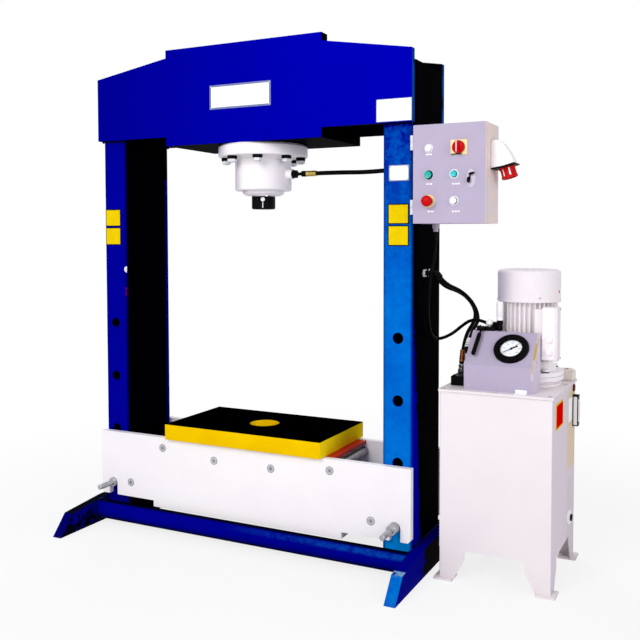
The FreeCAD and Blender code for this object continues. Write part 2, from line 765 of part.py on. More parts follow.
def consoleCover():
    # A folded cover, open behind, with a leaning face for the gauge and a shelf for the valve.
    t = consoleSheet
    rear = slopeTopY + 4
    outline = [(consoleFront, tankTop), (consoleFront, lipTop), (slopeTopY, slopeTopZ),
               (rear, slopeTopZ), (rear, tankTop)]
    hollow = [(consoleFront + t, tankTop - 1), (consoleFront + t, lipTop - t * 0.4),
              (slopeTopY + t * 0.4, slopeTopZ - t), (rear + 1, slopeTopZ - t), (rear + 1, tankTop - 1)]
    cover = prismX(outline, consoleLeft, consoleRight)
    cover = cover.cut(prismX(hollow, consoleLeft + t, consoleRight - t))
    sideWall = block(consoleLeft, consoleLeft + t, rear - 1, 90, tankTop, slopeTopZ)
    shelf = block(consoleLeft, 952, rear - 1, 74, slopeTopZ - t, slopeTopZ)
    shelfEnd = block(950, 976, rear - 1, 44, slopeTopZ - t, slopeTopZ)
    shelfRear = block(consoleLeft, 925, 73, 90, slopeTopZ - t, slopeTopZ)
    whole = joined([cover, sideWall, shelf, shelfEnd, shelfRear])
    place, outward = gaugeFrame()
    return whole.cut(Part.makeCylinder(40, 30, place - outward * 15, outward))


def gaugeFrame():
    # Centre of the gauge on the leaning face, and that face's outward direction.
    middle = V(gaugeX, (consoleFront + slopeTopY) / 2, (lipTop + slopeTopZ) / 2)
    outward = V(0, lipTop - slopeTopZ, slopeTopY - consoleFront).normalize()
    return middle, outward


def onGauge(shape):
    place, outward = gaugeFrame()
    shape.Placement = FreeCAD.Placement(place, FreeCAD.Rotation(axisZ, outward))
    return shape


def gaugeCase():
    # Panel gauge: a wide round bezel, the cup behind it with its stem, and the dial inside.
    outline = [(0, -28), (39.5, -28), (39.5, 0), (61, 0), (61, 8), (56, 14), (44, 14), (41, 10), (38, 10),
               (38, 2), (0, 2)]
    case = turned(outline)
    stem = rod(7, (0, 0, -50), (0, 0, -27))
    case = joined([case, stem])
    return onGauge(case.cut(rod(2 + runningGap, (0, 0, -2), (0, 0, 3))))


def gaugeGlass():
    return onGauge(rod(40.5, (0, 0, 10), (0, 0, 12)))


def gaugeNeedle():
    # A thin pointer and a wider tail on a round hub, with its spindle through the dial.
    points = [V(-3.2, -24, 4), V(3.2, -24, 4), V(2, 0, 4), V(0.6, 33, 4), V(-0.6, 33, 4), V(-2, 0, 4)]
    blade = Part.Face(Part.makePolygon(points + points[:1])).extrude(V(0, 0, 1.2))
    blade.rotate(V(0, 0, 0), axisZ, 123)
    hub = rod(5, (0, 0, 3), (0, 0, 7))
    spindle = rod(2, (0, 0, -1.5), (0, 0, 4))
    return onGauge(joined([blade, hub, spindle]))


def motorHousing():
    # Finned stator housing with its flange and bolts, two end shields and the terminal box.
    x, y = motorX, motorY
    bore = shaftRadius + runningGap
    low, high = motorFlangeLow, motorFlangeHigh
    outline = [(30, low), (motorFlangeRadius, low), (motorFlangeRadius, high - 2),
               (motorFlangeRadius - 2, high), (101, high + 2), (94, high + 16), (coreRadius + 2, high + 32),
               (coreRadius, high + 40), (coreRadius, housingTop - 12), (cowlRadius - 2, housingTop - 12),
               (cowlRadius - 2, housingTop), (bore, housingTop), (bore, housingTop - 17),
               (54, housingTop - 19), (54, high + 27),
               (bore, high + 25), (bore, low + 14), (30, low + 14)]
    core = turned(outline, x, y)
    fins = []
    for i in range(finCount):
        angle = 360.0 / finCount * (i + 0.5)
        fin = block(coreRadius - 2, finRadius, -1.4, 1.4, motorFlangeHigh + 36, housingTop - 11)
        fin.rotate(V(0, 0, 0), axisZ, angle)
        fin.translate(V(x, y, 0))
        fins.append(fin)
    base = block(1084, 1118, 24, 68, 786, 952)
    base = base.makeFillet(4, base.Edges)
    box = block(1112, 1166, 10, 64, 776, 960)
    box = box.makeFillet(6, box.Edges)
    neck = block(1092, 1136, 58, 100, 800, 930)
    bolts = []
    for i in range(4):
        angle = math.radians(45 + 90 * i)
        px, py = x + motorBoltRadius * math.cos(angle), y + motorBoltRadius * math.sin(angle)
        bolts.append(hexBar(22, (px, py, motorFlangeHigh - 1), (px, py, motorFlangeHigh + 13)))
    return joined([core] + fins + [neck, base, box] + bolts)


def motorCowl():
    # The pressed fan cowl: a thin cup with a rounded edge and rings of air slots in its top.
    x, y = motorX, motorY
    t = 2.0
    r = cowlRadius
    outline = [(r - t, cowlLow), (r, cowlLow), (r, cowlTop - 10), (r - 3, cowlTop - 4), (r - 12, cowlTop),
               (0, cowlTop), (0, cowlTop - t), (r - 12, cowlTop - t), (r - 5, cowlTop - 6),
               (r - t, cowlTop - 11)]
    cowl = turned(outline, x, y)
    slots = []
    for ringRadius, count in ((30, 8), (52, 12), (74, 16)):
        for i in range(count):
            slot = block(ringRadius - 7, ringRadius + 7, -3.5, 3.5, cowlTop - 4, cowlTop + 1)
            slot.rotate(V(0, 0, 0), axisZ, 360.0 / count * i)
            slot.translate(V(x, y, 0))
            slots.append(slot)
    return cowl.cut(Part.makeCompound(slots))


def motorRotor():
    # Shaft, rotor core, cooling fan and the pump coupling's half, all turning as one.
    x, y = motorX, motorY
    outline = [(0, 632), (27, 632), (27, couplingTop - 8), (shaftRadius, couplingTop - 6),
               (shaftRadius, 765), (50, 767), (50, 948), (shaftRadius, 950), (shaftRadius, 1000),
               (92, 1000), (92, 1003),
               (26, 1003), (26, 1040), (shaftRadius, 1040), (shaftRadius, 1062), (0, 1062)]
    rotor = turned(outline, x, y)
    blades = []
    for i in range(8):
        blade = block(24, 90, -1.2, 1.2, 1002, 1036)
        blade.rotate(V(0, 0, 0), axisZ, 45.0 * i)
        blade.translate(V(x, y, 0))
        blades.append(blade)
    return joined([rotor] + blades)


def bellHousing():
    # The cast spacer between the lid and the motor's flange; the pump hangs from its lower end.
    x, y = motorX, motorY
    outline = [(92, tankTop), (116, tankTop), (119, tankTop + 3), (119, tankTop + 8), (106, tankTop + 13),
               (108, motorFlangeLow - 18), (125, motorFlangeLow - 15), (125, motorFlangeLow),
               (88, motorFlangeLow), (88, 654), (60, 654), (60, 644), (92, 644)]
    return turned(outline, x, y)


def pump():
    # The pump hangs in the oil, with its suction pipe and strainer.
    x, y = motorX, motorY
    outline = [(0, 470), (44, 470), (52, 478), (52, 580), (60, 584), (60, 632), (88, 632), (88, 644),
               (31, 644), (31, 622), (0, 622)]
    body = turned(outline, x, y)
    pipe = rod(14, (x, y, 300), (x, y, 472))
    strainer = rod(36, (x, y, 180), (x, y, 310))
    return joined([body, pipe, strainer])


def valveBlock():
    # Hand valve on the shelf: body, fork for the lever, bore for the knob, plug socket behind.
    body = block(valveLeft, valveRight, 10, 44, slopeTopZ, valveTop)
    socket = block(925, 950, 44, 72, slopeTopZ, 898)
    cableEnd = V(*controlCable[-1])
    plug = rod(8, tuple(cableEnd), tuple(cableEnd + lastHeading(controlCable) * 16))
    lugs = [block(x, x + 5, leverY - 6, 11, leverZ - 7, valveTop) for x in (leverX - 11, leverX + 6)]
    pivot = rod(3, (leverX - 11, leverY, leverZ), (leverX + 11, leverY, leverZ))
    whole = joined([body, socket, plug, pivot] + lugs)
    return whole.cut(rod(4 + runningGap, (knobX, knobY, slopeTopZ + 2), (knobX, knobY, valveTop + 1)))


def valveLever():
    # The hand lever hangs in front of the leaning face: hub, arm and round-ended grip.
    hub = rod(6.5, (leverX - 5.7, leverY, leverZ), (leverX + 5.7, leverY, leverZ))
    arm = rod(3.5, (leverX, leverY, leverZ), (leverX - 1.5, -26, 860))
    grip = rod(7.5, (leverX - 1.5, -26, 860), (leverX - 5.5, -84, 801))
    ends = [Part.makeSphere(7.5, V(leverX - 1.5, -26, 860)), Part.makeSphere(7.5, V(leverX - 5.5, -84, 801))]
    lever = joined([hub, arm, grip] + ends)
    return lever.cut(rod(3 + runningGap, (leverX - 9, leverY, leverZ), (leverX + 9, leverY, leverZ)))


def reliefKnob():
    # The pressure setting's ball knob on its threaded stem.
    stem = rod(4, (knobX, knobY, valveTop - 9), (knobX, knobY, valveTop + 4))
    return joined([stem, Part.makeSphere(12.5, V(knobX, knobY, valveTop + 13.5))])


def pressureSwitch():
    # A switch that stands on the shelf: stem, plug and its tall round body.
    outline = [(0, slopeTopZ), (9, slopeTopZ), (9, 889), (11, 890), (11, 908), (12.5, 910), (12.5, 972),
               (9, 975), (0, 975)]
    return turned(outline, 961, 28)


def manifoldBlock():
    # The block on the lid that both hoses come down to, with their upright adapters.
    body = block(802, consoleLeft, -40, 80, tankTop, 708)
    body = body.makeChamfer(2, [e for e in body.Edges if e.BoundBox.ZMin > 700])
    parts = [body]
    for line in (lowerLine, upperLine):
        end = V(*line[-1])
        knee = end + lastHeading(line) * 22
        parts += [rod(ferruleRadius, tuple(end), tuple(knee)), Part.makeSphere(ferruleRadius, knee),
                  rod(6.5, tuple(knee), (knee.x, knee.y, 706)),
                  hexBar(22, (knee.x, knee.y, 708), (knee.x, knee.y, 722))]
    return joined(parts)


def returnFilter():
    # The return filter's housing on the lid, with its bolted cover.
    body = block(1128, 1184, 228, 284, tankTop, 708)
    body = body.makeFillet(6, [e for e in body.Edges if e.BoundBox.ZLength > 30])
    cover = rod(25, (1156, 256, 708), (1156, 256, 715))
    return joined([body, cover])


def levelGauge():
    # Oil level glass in its guard on the tank's right side.
    face = tankRight + gaugeReach
    guard = block(tankRight, face, levelY - levelHalf, levelY + levelHalf, levelLow, levelHigh)
    guard = guard.makeFillet(5, [e for e in guard.Edges if e.BoundBox.XMin > face - 1])
    return guard.cut(block(face - 6, face + 1, levelY - 8, levelY + 8, levelLow + 22, levelHigh - 22))


def drainPlug():
    start = (tankRight, drainY, drainZ)
    collar = rod(26, start, (tankRight + 5, drainY, drainZ))
    stem = rod(9.7, (tankRight - 8, drainY, drainZ), start)
    head = hexBar(22, (tankRight + 5, drainY, drainZ), (tankRight + 15, drainY, drainZ))
    return joined([collar, stem, head])


# Hoses, pipe and cable

def hoseUnions():
    # Two bulkhead unions through the right upright's outer wall, and the cylinder's two port fittings.
    unions = []
    web = halfWidth - uprightWall
    sets = ((lowerKnee, lowerLine, riserTops[0], cylinderHoseRadius + 2.5),
            (upperKnee, upperLine, riserTops[1], pipeRadius + 2))
    for knee, line, top, sleeve in sets:
        y = knee[1]
        inside = (riserX, y, unionZ)
        through = rod(11, inside, knee)
        inNut = hexBar(32, (web - 12, y, unionZ), (web, y, unionZ))
        outNut = hexBar(32, (halfWidth, y, unionZ), (halfWidth + 8, y, unionZ))
        riser = rod(sleeve, inside, (riserX, y, top))
        ferrule = rod(ferruleRadius, knee, line[0])
        unions.append(joined([through, inNut, outNut, Part.makeSphere(13, V(*inside)), riser,
                              Part.makeSphere(11.5, V(*knee)), ferrule]))
    z = lowerPortZ
    portFitting = joined([hexBar(30, (bossFace, 0, z), (bossFace + 18, 0, z)),
                          rod(7, (bossFace, 0, z), (202, 0, z)), rod(11.5, (198, 0, z), (238, 0, z))])
    pipeFitting = hexBar(24, (bossFace, 0, upperPortZ), (166, 0, upperPortZ))
    return Part.makeCompound(unions + [portFitting, pipeFitting])


def buildFrame():
    save("left_upright", mirrorX(upright()))
    save("right_upright", rightUpright())
    head = headPlateFront()
    save("head_front_plate", head)
    save("head_rear_plate", mirrorY(head))
    save("cylinder_seat", cylinderSeat())
    rightFoot = foot()
    save("right_foot", rightFoot)
    save("left_foot", mirrorX(rightFoot))
    frontTube = crossTube()
    save("front_cross_tube", frontTube)
    save("rear_cross_tube", mirrorY(frontTube))


def buildCylinder():
    save("cylinder_barrel", barrel())
    save("cylinder_gland", gland())
    save("cylinder_bolts", cylinderBolts())
    save("ram_rod", ramRod())
    save("ram_piston", ramPiston())
    save("ram_nose", ramNose())


def buildBed():
    plate = bedPlateFront()
    save("bed_front_plate", plate)
    save("bed_rear_plate", mirrorY(plate))
    save("bed_spacers", bedSpacers())
    save("bed_cross_bars", crossBars())
    save("table_plate", tablePlate())
    save("left_pin", supportPin(-1, leftPinOut))
    save("right_pin", supportPin(1, rightPinOut))


def buildBox():
    save("box_shell", boxShell())
    save("box_door", boxDoor())
    save("device_collars", deviceCollars())
    save("green_button", pushButton(deviceLeft, rowMid, 14))
    save("teal_button", pushButton(deviceRight, rowMid, 11))
    save("white_button", pushButton(deviceRight, rowLow, 13))
    save("emergency_button", emergencyButton())
    save("main_switch", mainSwitch())
    save("signal_lamp", signalLamp())
    save("door_lock", doorLock())
    save("relay_panel", relayPanel())
    save("power_inlet", powerInlet())


def buildPowerUnit():
    save("tank_body", tankBody())
    save("tank_lid", tankLid())
    save("filler_cap", fillerCap())
    save("console_cover", consoleCover())
    save("gauge_case", gaugeCase())
    save("gauge_glass", gaugeGlass())
    save("gauge_needle", gaugeNeedle())
    save("motor_housing", motorHousing())
    save("motor_cowl", motorCowl())
    save("motor_rotor", motorRotor())
    save("bell_housing", bellHousing())
    save("pump", pump())
    save("valve_block", valveBlock())
    save("valve_lever", valveLever())
    save("relief_knob", reliefKnob())
    save("pressure_switch", pressureSwitch())
    save("manifold_block", manifoldBlock())
    save("return_filter", returnFilter())
    save("level_gauge", levelGauge())
    save("drain_plug", drainPlug())


def buildLines():
    save("hose_unions", hoseUnions())
    save("cylinder_hose", tube("cylinder hose", cylinderHose, cylinderHoseRadius))
    save("upper_pipe", tube("upper pipe", upperPipe, pipeRadius))
    save("lower_line", tube("lower line", lowerLine, hoseRadius))
    save("upper_line", tube("upper line", upperLine, hoseRadius))
    save("control_cable", tube("control cable", controlCable, cableRadius))


os.makedirs("parts", exist_ok=True)
buildFrame()
buildCylinder()
buildBed()
buildBox()
buildPowerUnit()
buildLines()
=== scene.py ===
import bpy
import bmesh
import math
from mathutils import Matrix, Quaternion, Vector


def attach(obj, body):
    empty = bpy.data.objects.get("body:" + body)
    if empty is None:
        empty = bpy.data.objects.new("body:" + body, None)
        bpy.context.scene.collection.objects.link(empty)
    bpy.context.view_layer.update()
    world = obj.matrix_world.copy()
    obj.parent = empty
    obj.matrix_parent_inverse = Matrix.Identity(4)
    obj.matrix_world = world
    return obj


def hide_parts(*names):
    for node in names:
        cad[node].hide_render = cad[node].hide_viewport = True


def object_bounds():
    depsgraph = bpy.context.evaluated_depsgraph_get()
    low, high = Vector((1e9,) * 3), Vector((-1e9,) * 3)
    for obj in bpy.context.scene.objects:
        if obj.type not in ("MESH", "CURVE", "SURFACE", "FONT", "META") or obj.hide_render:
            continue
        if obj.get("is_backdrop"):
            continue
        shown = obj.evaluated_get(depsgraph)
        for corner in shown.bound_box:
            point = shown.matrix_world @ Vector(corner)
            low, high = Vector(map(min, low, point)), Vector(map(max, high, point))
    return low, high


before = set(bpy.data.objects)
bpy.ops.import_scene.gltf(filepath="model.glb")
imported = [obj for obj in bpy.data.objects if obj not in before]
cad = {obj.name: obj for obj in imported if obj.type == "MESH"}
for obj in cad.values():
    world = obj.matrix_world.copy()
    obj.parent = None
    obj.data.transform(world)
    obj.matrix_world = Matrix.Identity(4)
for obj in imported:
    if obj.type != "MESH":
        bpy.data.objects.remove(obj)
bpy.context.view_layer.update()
print("frame loaded,", len(cad), "nodes")

pressX = -0.2315          # the ram's axis, seen from the middle of the whole part


def at(x, y, z):          # millimetres from the ram's axis, on the floor
    return Vector((pressX + x / 1000, y / 1000, z / 1000))


def seen(red, green, blue):      # a colour as it looks on a screen, 0 to 255
    return tuple(((c / 255 + 0.055) / 1.055) ** 2.4 if c > 10 else c / 3295 for c in (red, green, blue))


def dark(blue):                  # nearly black
    return (0.0001, 0.0001, blue)


# camera: the photograph's place and lens
camera = {
    "place": (1731.5, -2875.3, 1204.5),
    "pitch": -2.54, "roll": 0.04, "yaw": 25.80,
    "focal": 829.23, "centre": (340.11, 274.04), "frame": 640,
}
cameraData = bpy.data.cameras.new("photoCamera")
cameraObject = bpy.data.objects.new("photoCamera", cameraData)
bpy.context.scene.collection.objects.link(cameraObject)
cameraObject.location = at(*camera["place"])
cameraObject.rotation_euler = [math.radians(a) for a in (90 + camera["pitch"], camera["roll"], camera["yaw"])]
cameraData.sensor_width = 36
cameraData.lens = camera["focal"] * 36 / camera["frame"]
cameraData.shift_x = (camera["frame"] / 2 - camera["centre"][0]) / camera["frame"]
cameraData.shift_y = (camera["centre"][1] - camera["frame"] / 2) / camera["frame"]
cameraData.clip_end = 60
bpy.context.scene.camera = cameraObject


# shader maths: a socket with arithmetic, and one method for every other node
class Link:
    def __init__(self, shader, socket):
        self.shader, self.socket = shader, socket

    def maths(self, operation, a, b=0.0):
        return self.shader.node("ShaderNodeMath", {"operation": operation}, {0: a, 1: b})

    def __add__(self, other):
        return self.maths("ADD", self, other)

    def __sub__(self, other):
        return self.maths("SUBTRACT", self, other)

    def __rsub__(self, other):
        return self.maths("SUBTRACT", other, self)

    def __mul__(self, other):
        return self.maths("MULTIPLY", self, other)

    __radd__, __rmul__ = __add__, __mul__

    def above(self, level):
        return self.maths("GREATER_THAN", self, level)

    def below(self, level):
        return self.maths("LESS_THAN", self, level)

    def most(self, other):
        return self.maths("MAXIMUM", self, other)

    def size(self):
        return self.maths("ABSOLUTE", self)

    def other(self, output):             # another output of the same node
        return Link(self.shader, self.socket.node.outputs[output])


class Shader:
    def __init__(self, name, owner=None):
        self.material = owner or bpy.data.materials.new(name)
        self.material.use_nodes = True
        self.tree = self.material.node_tree
        if owner is None:
            self.surface = self.tree.nodes["Principled BSDF"]
            self.place = self.node("ShaderNodeTexCoord", {}, {}, "Object")

    def node(self, kind, settings, inputs, output=0):
        made = self.tree.nodes.new(kind)
        for key, value in settings.items():
            setattr(made, key, value)
        for key, value in inputs.items():
            self.feed(made.inputs[key], value)
        return Link(self, made.outputs[output])

    def feed(self, socket, value):
        if isinstance(value, Link):
            self.tree.links.new(value.socket, socket)
        elif isinstance(value, tuple) and len(value) == 3 and socket.type == "RGBA":
            socket.default_value = (*value, 1)
        else:
            socket.default_value = value

    def noise(self, scale, detail=3.0, roughness=0.5, stretch=(1, 1, 1)):
        spot = self.node("ShaderNodeMapping", {}, {"Vector": self.place, "Scale": stretch})
        return self.node("ShaderNodeTexNoise", {}, {"Vector": spot, "Scale": scale, "Detail": detail,
                                                    "Roughness": roughness})

    def cells(self, scale):
        return self.node("ShaderNodeTexVoronoi", {}, {"Vector": self.place, "Scale": scale})

    def ramp(self, value, low, high):      # 0 below low, 1 above high
        return self.node("ShaderNodeMapRange", {}, {0: value, 1: low, 2: high, 3: 0.0, 4: 1.0})

    def patches(self, low, high, *noise):  # noise with its contrast raised
        return self.ramp(self.noise(*noise), low, high)

    def mix(self, factor, a, b):
        return self.node("ShaderNodeMix", {"data_type": "RGBA"}, {0: factor, 6: a, 7: b}, 2)

    def layers(self, tone, *coats):        # each coat is (share, colour), laid over the ones before
        for share, colour in coats:
            tone = self.mix(share, tone, colour)
        return tone

    def split(self, vector):
        x = self.node("ShaderNodeSeparateXYZ", {}, {0: vector})
        return x, x.other(1), x.other(2)

    def axes(self):
        return self.split(self.place)

    def facing(self):                      # the surface's own direction
        return self.split(self.node("ShaderNodeTexCoord", {}, {}, "Normal"))

    def bump(self, height, strength, distance):
        return self.node("ShaderNodeBump", {}, {"Height": height, "Strength": strength, "Distance": distance})

    def set(self, gloss=None, **values):
        if gloss is not None:
            self.surface.inputs["Specular IOR Level"].default_value = gloss
        for key, value in values.items():
            self.feed(self.surface.inputs[key.replace("_", " ")], value)
        return self.material

    def paint(self, tone, rough, gloss, spread=0.16, wave=26, depth=0.0006):
        # sprayed paint: orange peel and an uneven sheen
        peel = self.noise(420, 1, 0.4) * 0.35 + self.noise(wave, 2)
        return self.set(gloss, Base_Color=tone, Roughness=rough + (self.noise(14, 3) - 0.5) * spread,
                        Normal=self.bump(peel, 0.10, depth))


def enamel(name, colour, shade, rough, dust=0.0, gloss=0.10, left=None):
    # machine paint: slow clouds of tone, painted shade on the left-facing side, a few specks, dust low down
    shader = Shader(name)
    coats = [(shader.patches(0.32, 0.72, 2.2, 4, 0.6) * 0.8, shade)]
    if left:
        # painted shade: faces that look left take the darker left colour
        coats.append((shader.ramp(0 - shader.facing()[0], 0.25, 0.92), left))
    coats.append((shader.patches(0.64, 0.82, 90, 2, 0.6) * 0.12, tuple(c * 0.5 for c in shade)))
    if dust:
        low = 1 - shader.ramp(shader.axes()[2] + shader.noise(9, 3) * 0.08, 0.03, 0.17)
        coats.append((low * dust, (0.30, 0.28, 0.25)))
    return shader.paint(shader.layers(colour, *coats), rough, gloss)


def plastic(name, colour, shade, rough=0.42, grain=0.12, gloss=0.30):
    # moulded plastic: fine grain, slight cloudiness and a few scuffs
    shader = Shader(name)
    scuffs = shader.patches(0.66, 0.80, 160, 4, 0.7, (1, 1, 0.25))
    return shader.set(gloss, Base_Color=shader.mix(shader.patches(0.3, 0.7, 30, 3) * 0.6, colour, shade),
                      Roughness=rough + (shader.noise(60, 2) - 0.5) * 0.12 + scuffs * 0.15,
                      Normal=shader.bump(shader.noise(1400, 1, 0.5), grain, 0.0002))


def steel(name, colour, shade, rough, metallic=1.0, gloss=0.5, stretch=(1, 1, 1), streak=260):
    # machined or plated steel: fine streaks across the cut, with duller patches
    shader = Shader(name)
    streaks = shader.noise(streak, 3, 0.6, stretch)
    patches = shader.patches(0.35, 0.7, 18, 4, 0.6)
    tone = shader.layers(colour, (patches * 0.7, shade), (streaks * 0.25, tuple(c * 0.6 for c in shade)))
    return shader.set(gloss, Metallic=metallic, Base_Color=tone,
                      Roughness=rough + (streaks - 0.5) * 0.22 + patches * 0.08,
                      Normal=shader.bump(streaks, 0.12, 0.0003))


def casting(name, colour, shade, rough=0.55, size=240, grain=0.35, left=None):
    # sand-cast skin under paint; a left colour, when given, is painted shade on the left-facing side
    shader = Shader(name)
    lumps = shader.noise(size, 4, 0.7)
    coats = [(shader.patches(0.3, 0.7, 12, 3) * 0.8, shade)]
    if left:
        # painted shade: faces that look left take the darker left colour
        coats.append((shader.ramp(0 - shader.facing()[0], 0.25, 0.95), left))
    hollows = shader.ramp(shader.cells(size * 0.4), 0.0, 0.35)
    coats.append(((1 - hollows) * 0.10, tuple(c * 0.6 for c in shade)))
    return shader.set(0.12, Base_Color=shader.layers(colour, *coats), Roughness=rough + (lumps - 0.5) * 0.2,
                      Normal=shader.bump(lumps, grain, 0.0008))


def beadFinish(name, colour):
    # a painted weld bead, rippled across its run
    shader = Shader(name)
    ripples = shader.noise(190, 2, 0.5)
    return shader.set(0.03, Base_Color=shader.mix(ripples * 0.6, colour, tuple(c * 0.6 for c in colour)),
                      Roughness=0.45 + (ripples - 0.5) * 0.2, Normal=shader.bump(ripples, 0.4, 0.001))


def tableFinish():
    # yellow plate with a blackened, scuffed top, and its right-facing side painted brighter yellow as painted light
    shader = Shader("tablePaint")
    top = shader.axes()[2].above(0.4497)
    scuff = shader.patches(0.60, 0.85, 38, 5, 0.7, (1, 0.3, 1))
    black = shader.mix(scuff * 0.20, (0.0002, 0.0001, 0.0001), (0.004, 0.003, 0.003))
    tone = shader.layers(
        seen(243, 200, 2), (shader.patches(0.3, 0.75, 5, 4, 0.6) * 0.8, seen(226, 176, 2)),
        # painted light: right-facing faces brighter yellow
        (shader.ramp(shader.facing()[0], 0.5, 0.9), seen(255, 222, 20)), (top, black))
    return shader.set(0.0, Base_Color=tone, Roughness=0.42 + top * 0.2 + (shader.noise(20, 3) - 0.5) * 0.15,
                      Normal=shader.bump(shader.noise(300, 2), 0.12, 0.0006))


def headFinish():
    # deep blue; painted shade makes it darker to the left and black on the right-facing end, on faces that look down
    # and on the rear plate's inner face; a painted highlight in azure on the front plate's right end face
    shader = Shader("headBlue")
    x, y = shader.axes()[:2]
    right, back, up = shader.facing()
    # the front plate's right end face, which takes a painted highlight
    edge = x.above(0.467) * y.size().above(0.1458) * right.above(0.5)
    tone = shader.layers(
        (0.0001, 0.0002, 0.40), (shader.patches(0.32, 0.72, 2.2, 4, 0.6) * 0.8, (0.0001, 0.0002, 0.34)),
        # painted shade: darker to the left, black on right-facing faces
        (1 - shader.ramp(x, -0.85, 0.10), (0.0001, 0.0002, 0.25)),
        (shader.ramp(right, 0.35, 0.85), dark(0.001)),
        # painted highlight: the front plate's right end face in azure
        (edge * shader.patches(0.30, 0.55, 14, 3), seen(3, 72, 158)),
        # painted shade: faces that look down, and the rear plate's inner face, in black
        (shader.ramp(0 - up, 0.35, 0.85), dark(0.002)),
        (y.above(0.05) * shader.ramp(0 - back, 0.5, 0.9), dark(0.002)))
    return shader.paint(tone, 0.50, 0.0006)


def footFinish():
    # feet and cross tubes: violet blue, with painted light and shade: the right foot's front painted azure as painted
    # light, a painted highlight on its bend and painted shade in black over the back of its side; painted shade on the
    # left foot's front, top and side; on the tubes, painted shade below and along top and bottom, painted highlights
    # in azure on top
    shader = Shader("footBlue")
    x, y, z = shader.axes()
    right, back, up = shader.facing()
    side = shader.ramp(right, 0.5, 0.9)
    front = shader.ramp(0 - back, 0.5, 0.9)
    mottle = shader.ramp(shader.noise(40, 4, 0.7) + shader.noise(8, 2) * 0.4, 0.60, 0.80)
    litAzure = shader.mix(mottle * 0.45, seen(2, 112, 200), (0.0004, 0.036, 0.42))
    rightFoot, leftFoot = x.above(0.468), x.below(-0.930)
    tube = x.below(0.468) * x.above(-0.930)
    shadeBoundary = y + (shader.noise(34, 4, 0.7) - 0.5) * 0.28
    bendHighlight = rightFoot * (y + 0.340).size().below(0.016) * shader.ramp(up, 0.6, 0.9)
    shadeBlots = shader.ramp(shader.noise(34, 4, 0.7) - z * 2.0, 0.34, 0.44)
    tubeHighlight = shader.ramp(up, 0.35, 0.6) * (1 - shader.ramp(up, 0.80, 0.95)) * shader.ramp(x, -0.30, 0.30)
    # the tubes' top and bottom, which take painted shade
    rims = shader.ramp(up, 0.86, 0.97) + shader.ramp(0 - up, 0.45, 0.85)
    low = 1 - shader.ramp(z + shader.noise(9, 3) * 0.05, 0.01, 0.06)
    tone = shader.layers(
        (0.0003, 0.0004, 0.25), (shader.patches(0.32, 0.72, 2.2, 4, 0.6) * 0.8, (0.0002, 0.0003, 0.19)),
        # painted shade: the left foot's front faces darkened
        ((1 - shader.ramp(x, -0.93, -0.90)) * front * 0.9, (0.0003, 0.0003, 0.055)),
        # painted light: the right foot's front in mottled azure; painted shade: black over the back of its side
        (rightFoot * shader.ramp(0 - back, 0.35, 0.65), litAzure),
        (rightFoot * side * shader.ramp(shadeBoundary, -0.165, -0.145), dark(0.001)),
        # painted highlight on the right foot's bend; painted shade on the left foot's top and side
        (bendHighlight * shader.patches(0.30, 0.50, 60, 3), seen(120, 160, 196)),
        (leftFoot * shader.ramp(up, 0.75, 0.95), dark(0.004)),
        (leftFoot * side * shadeBlots, dark(0.004)),
        # painted shade under the tubes, painted highlights on their tops, painted shade along their top and bottom
        (tube * shader.ramp(0 - up, 0.05, 0.75), (0.0002, 0.0002, 0.060)),
        (tube * tubeHighlight * (mottle * 0.45 + 0.1), seen(10, 86, 186)),
        (tube * rims, dark(0.006)), (low * 0.04, (0.10, 0.09, 0.12)))
    return shader.paint(tone, 0.50, 0.002)


def columnFinish():
    # the uprights: deep blue on the left; down the right front, painted light in mottled azure, with painted
    # highlights at its foot and along the left upright's outer front edge; painted shade black on the right faces,
    # with lit blue strips on them as painted light
    shader = Shader("columnBlue")
    x, y, z = shader.axes()
    right, back = shader.facing()[:2]
    front, rightFace = shader.ramp(0 - back, 0.5, 0.9), shader.ramp(right, 0.35, 0.85)
    # painted light: the lit right front in mottled azure, more of it low down
    litAzure = shader.mix(shader.patches(0.35, 0.7, 6, 3, 0.6), seen(2, 112, 206), seen(1, 96, 196))
    mottle = shader.ramp(shader.noise(34, 4, 0.7) + shader.noise(7, 2) * 0.5, 0.66, 0.86)
    lower = 1 - shader.ramp(z, 0.95, 1.62)
    share = shader.ramp(x, 0.2, 0.36) * front * (lower * 0.88 - 0.05 + mottle * (0.44 - lower * 0.26))
    litBand = (1 - shader.ramp(y + z * 0.085 + shader.noise(26, 4, 0.7) * 0.06, -0.046, -0.026)) * z.below(1.18)
    rearCornerHighlight = x.below(0.0) * shader.ramp(y, 0.108, 0.122) * z.below(1.46)
    streak = (x + 0.8145).size().below(0.0052) * (z - 0.977).size().below(0.019) * front
    tone = shader.layers(
        (0.0003, 0.0004, 0.30), (shader.patches(0.3, 0.7, 3, 4, 0.6), (0.0002, 0.0003, 0.235)), (share, litAzure),
        # painted highlights: the foot of the right front, and the left upright's outer front edge
        (x.above(0.36) * front * (1 - shader.ramp(z, 0.12, 0.20)) * 0.8, seen(4, 150, 232)),
        ((1 - shader.ramp(x, -0.928, -0.921)) * front * 0.6, seen(2, 60, 170)),
        # painted shade: right faces black, with a lit blue band low on the right upright's outer face and a lit strip
        # at the left upright's rear corner
        (rightFace, dark(0.001)), (rightFace * x.above(0.3) * litBand, (0.0002, 0.0003, 0.34)),
        (rightFace * rearCornerHighlight, (0.0002, 0.0003, 0.24)),
        (streak * shader.patches(0.35, 0.6, 120, 3), (0.16, 0.002, 0.002)))
    return shader.paint(tone, 0.44, 0.0006)


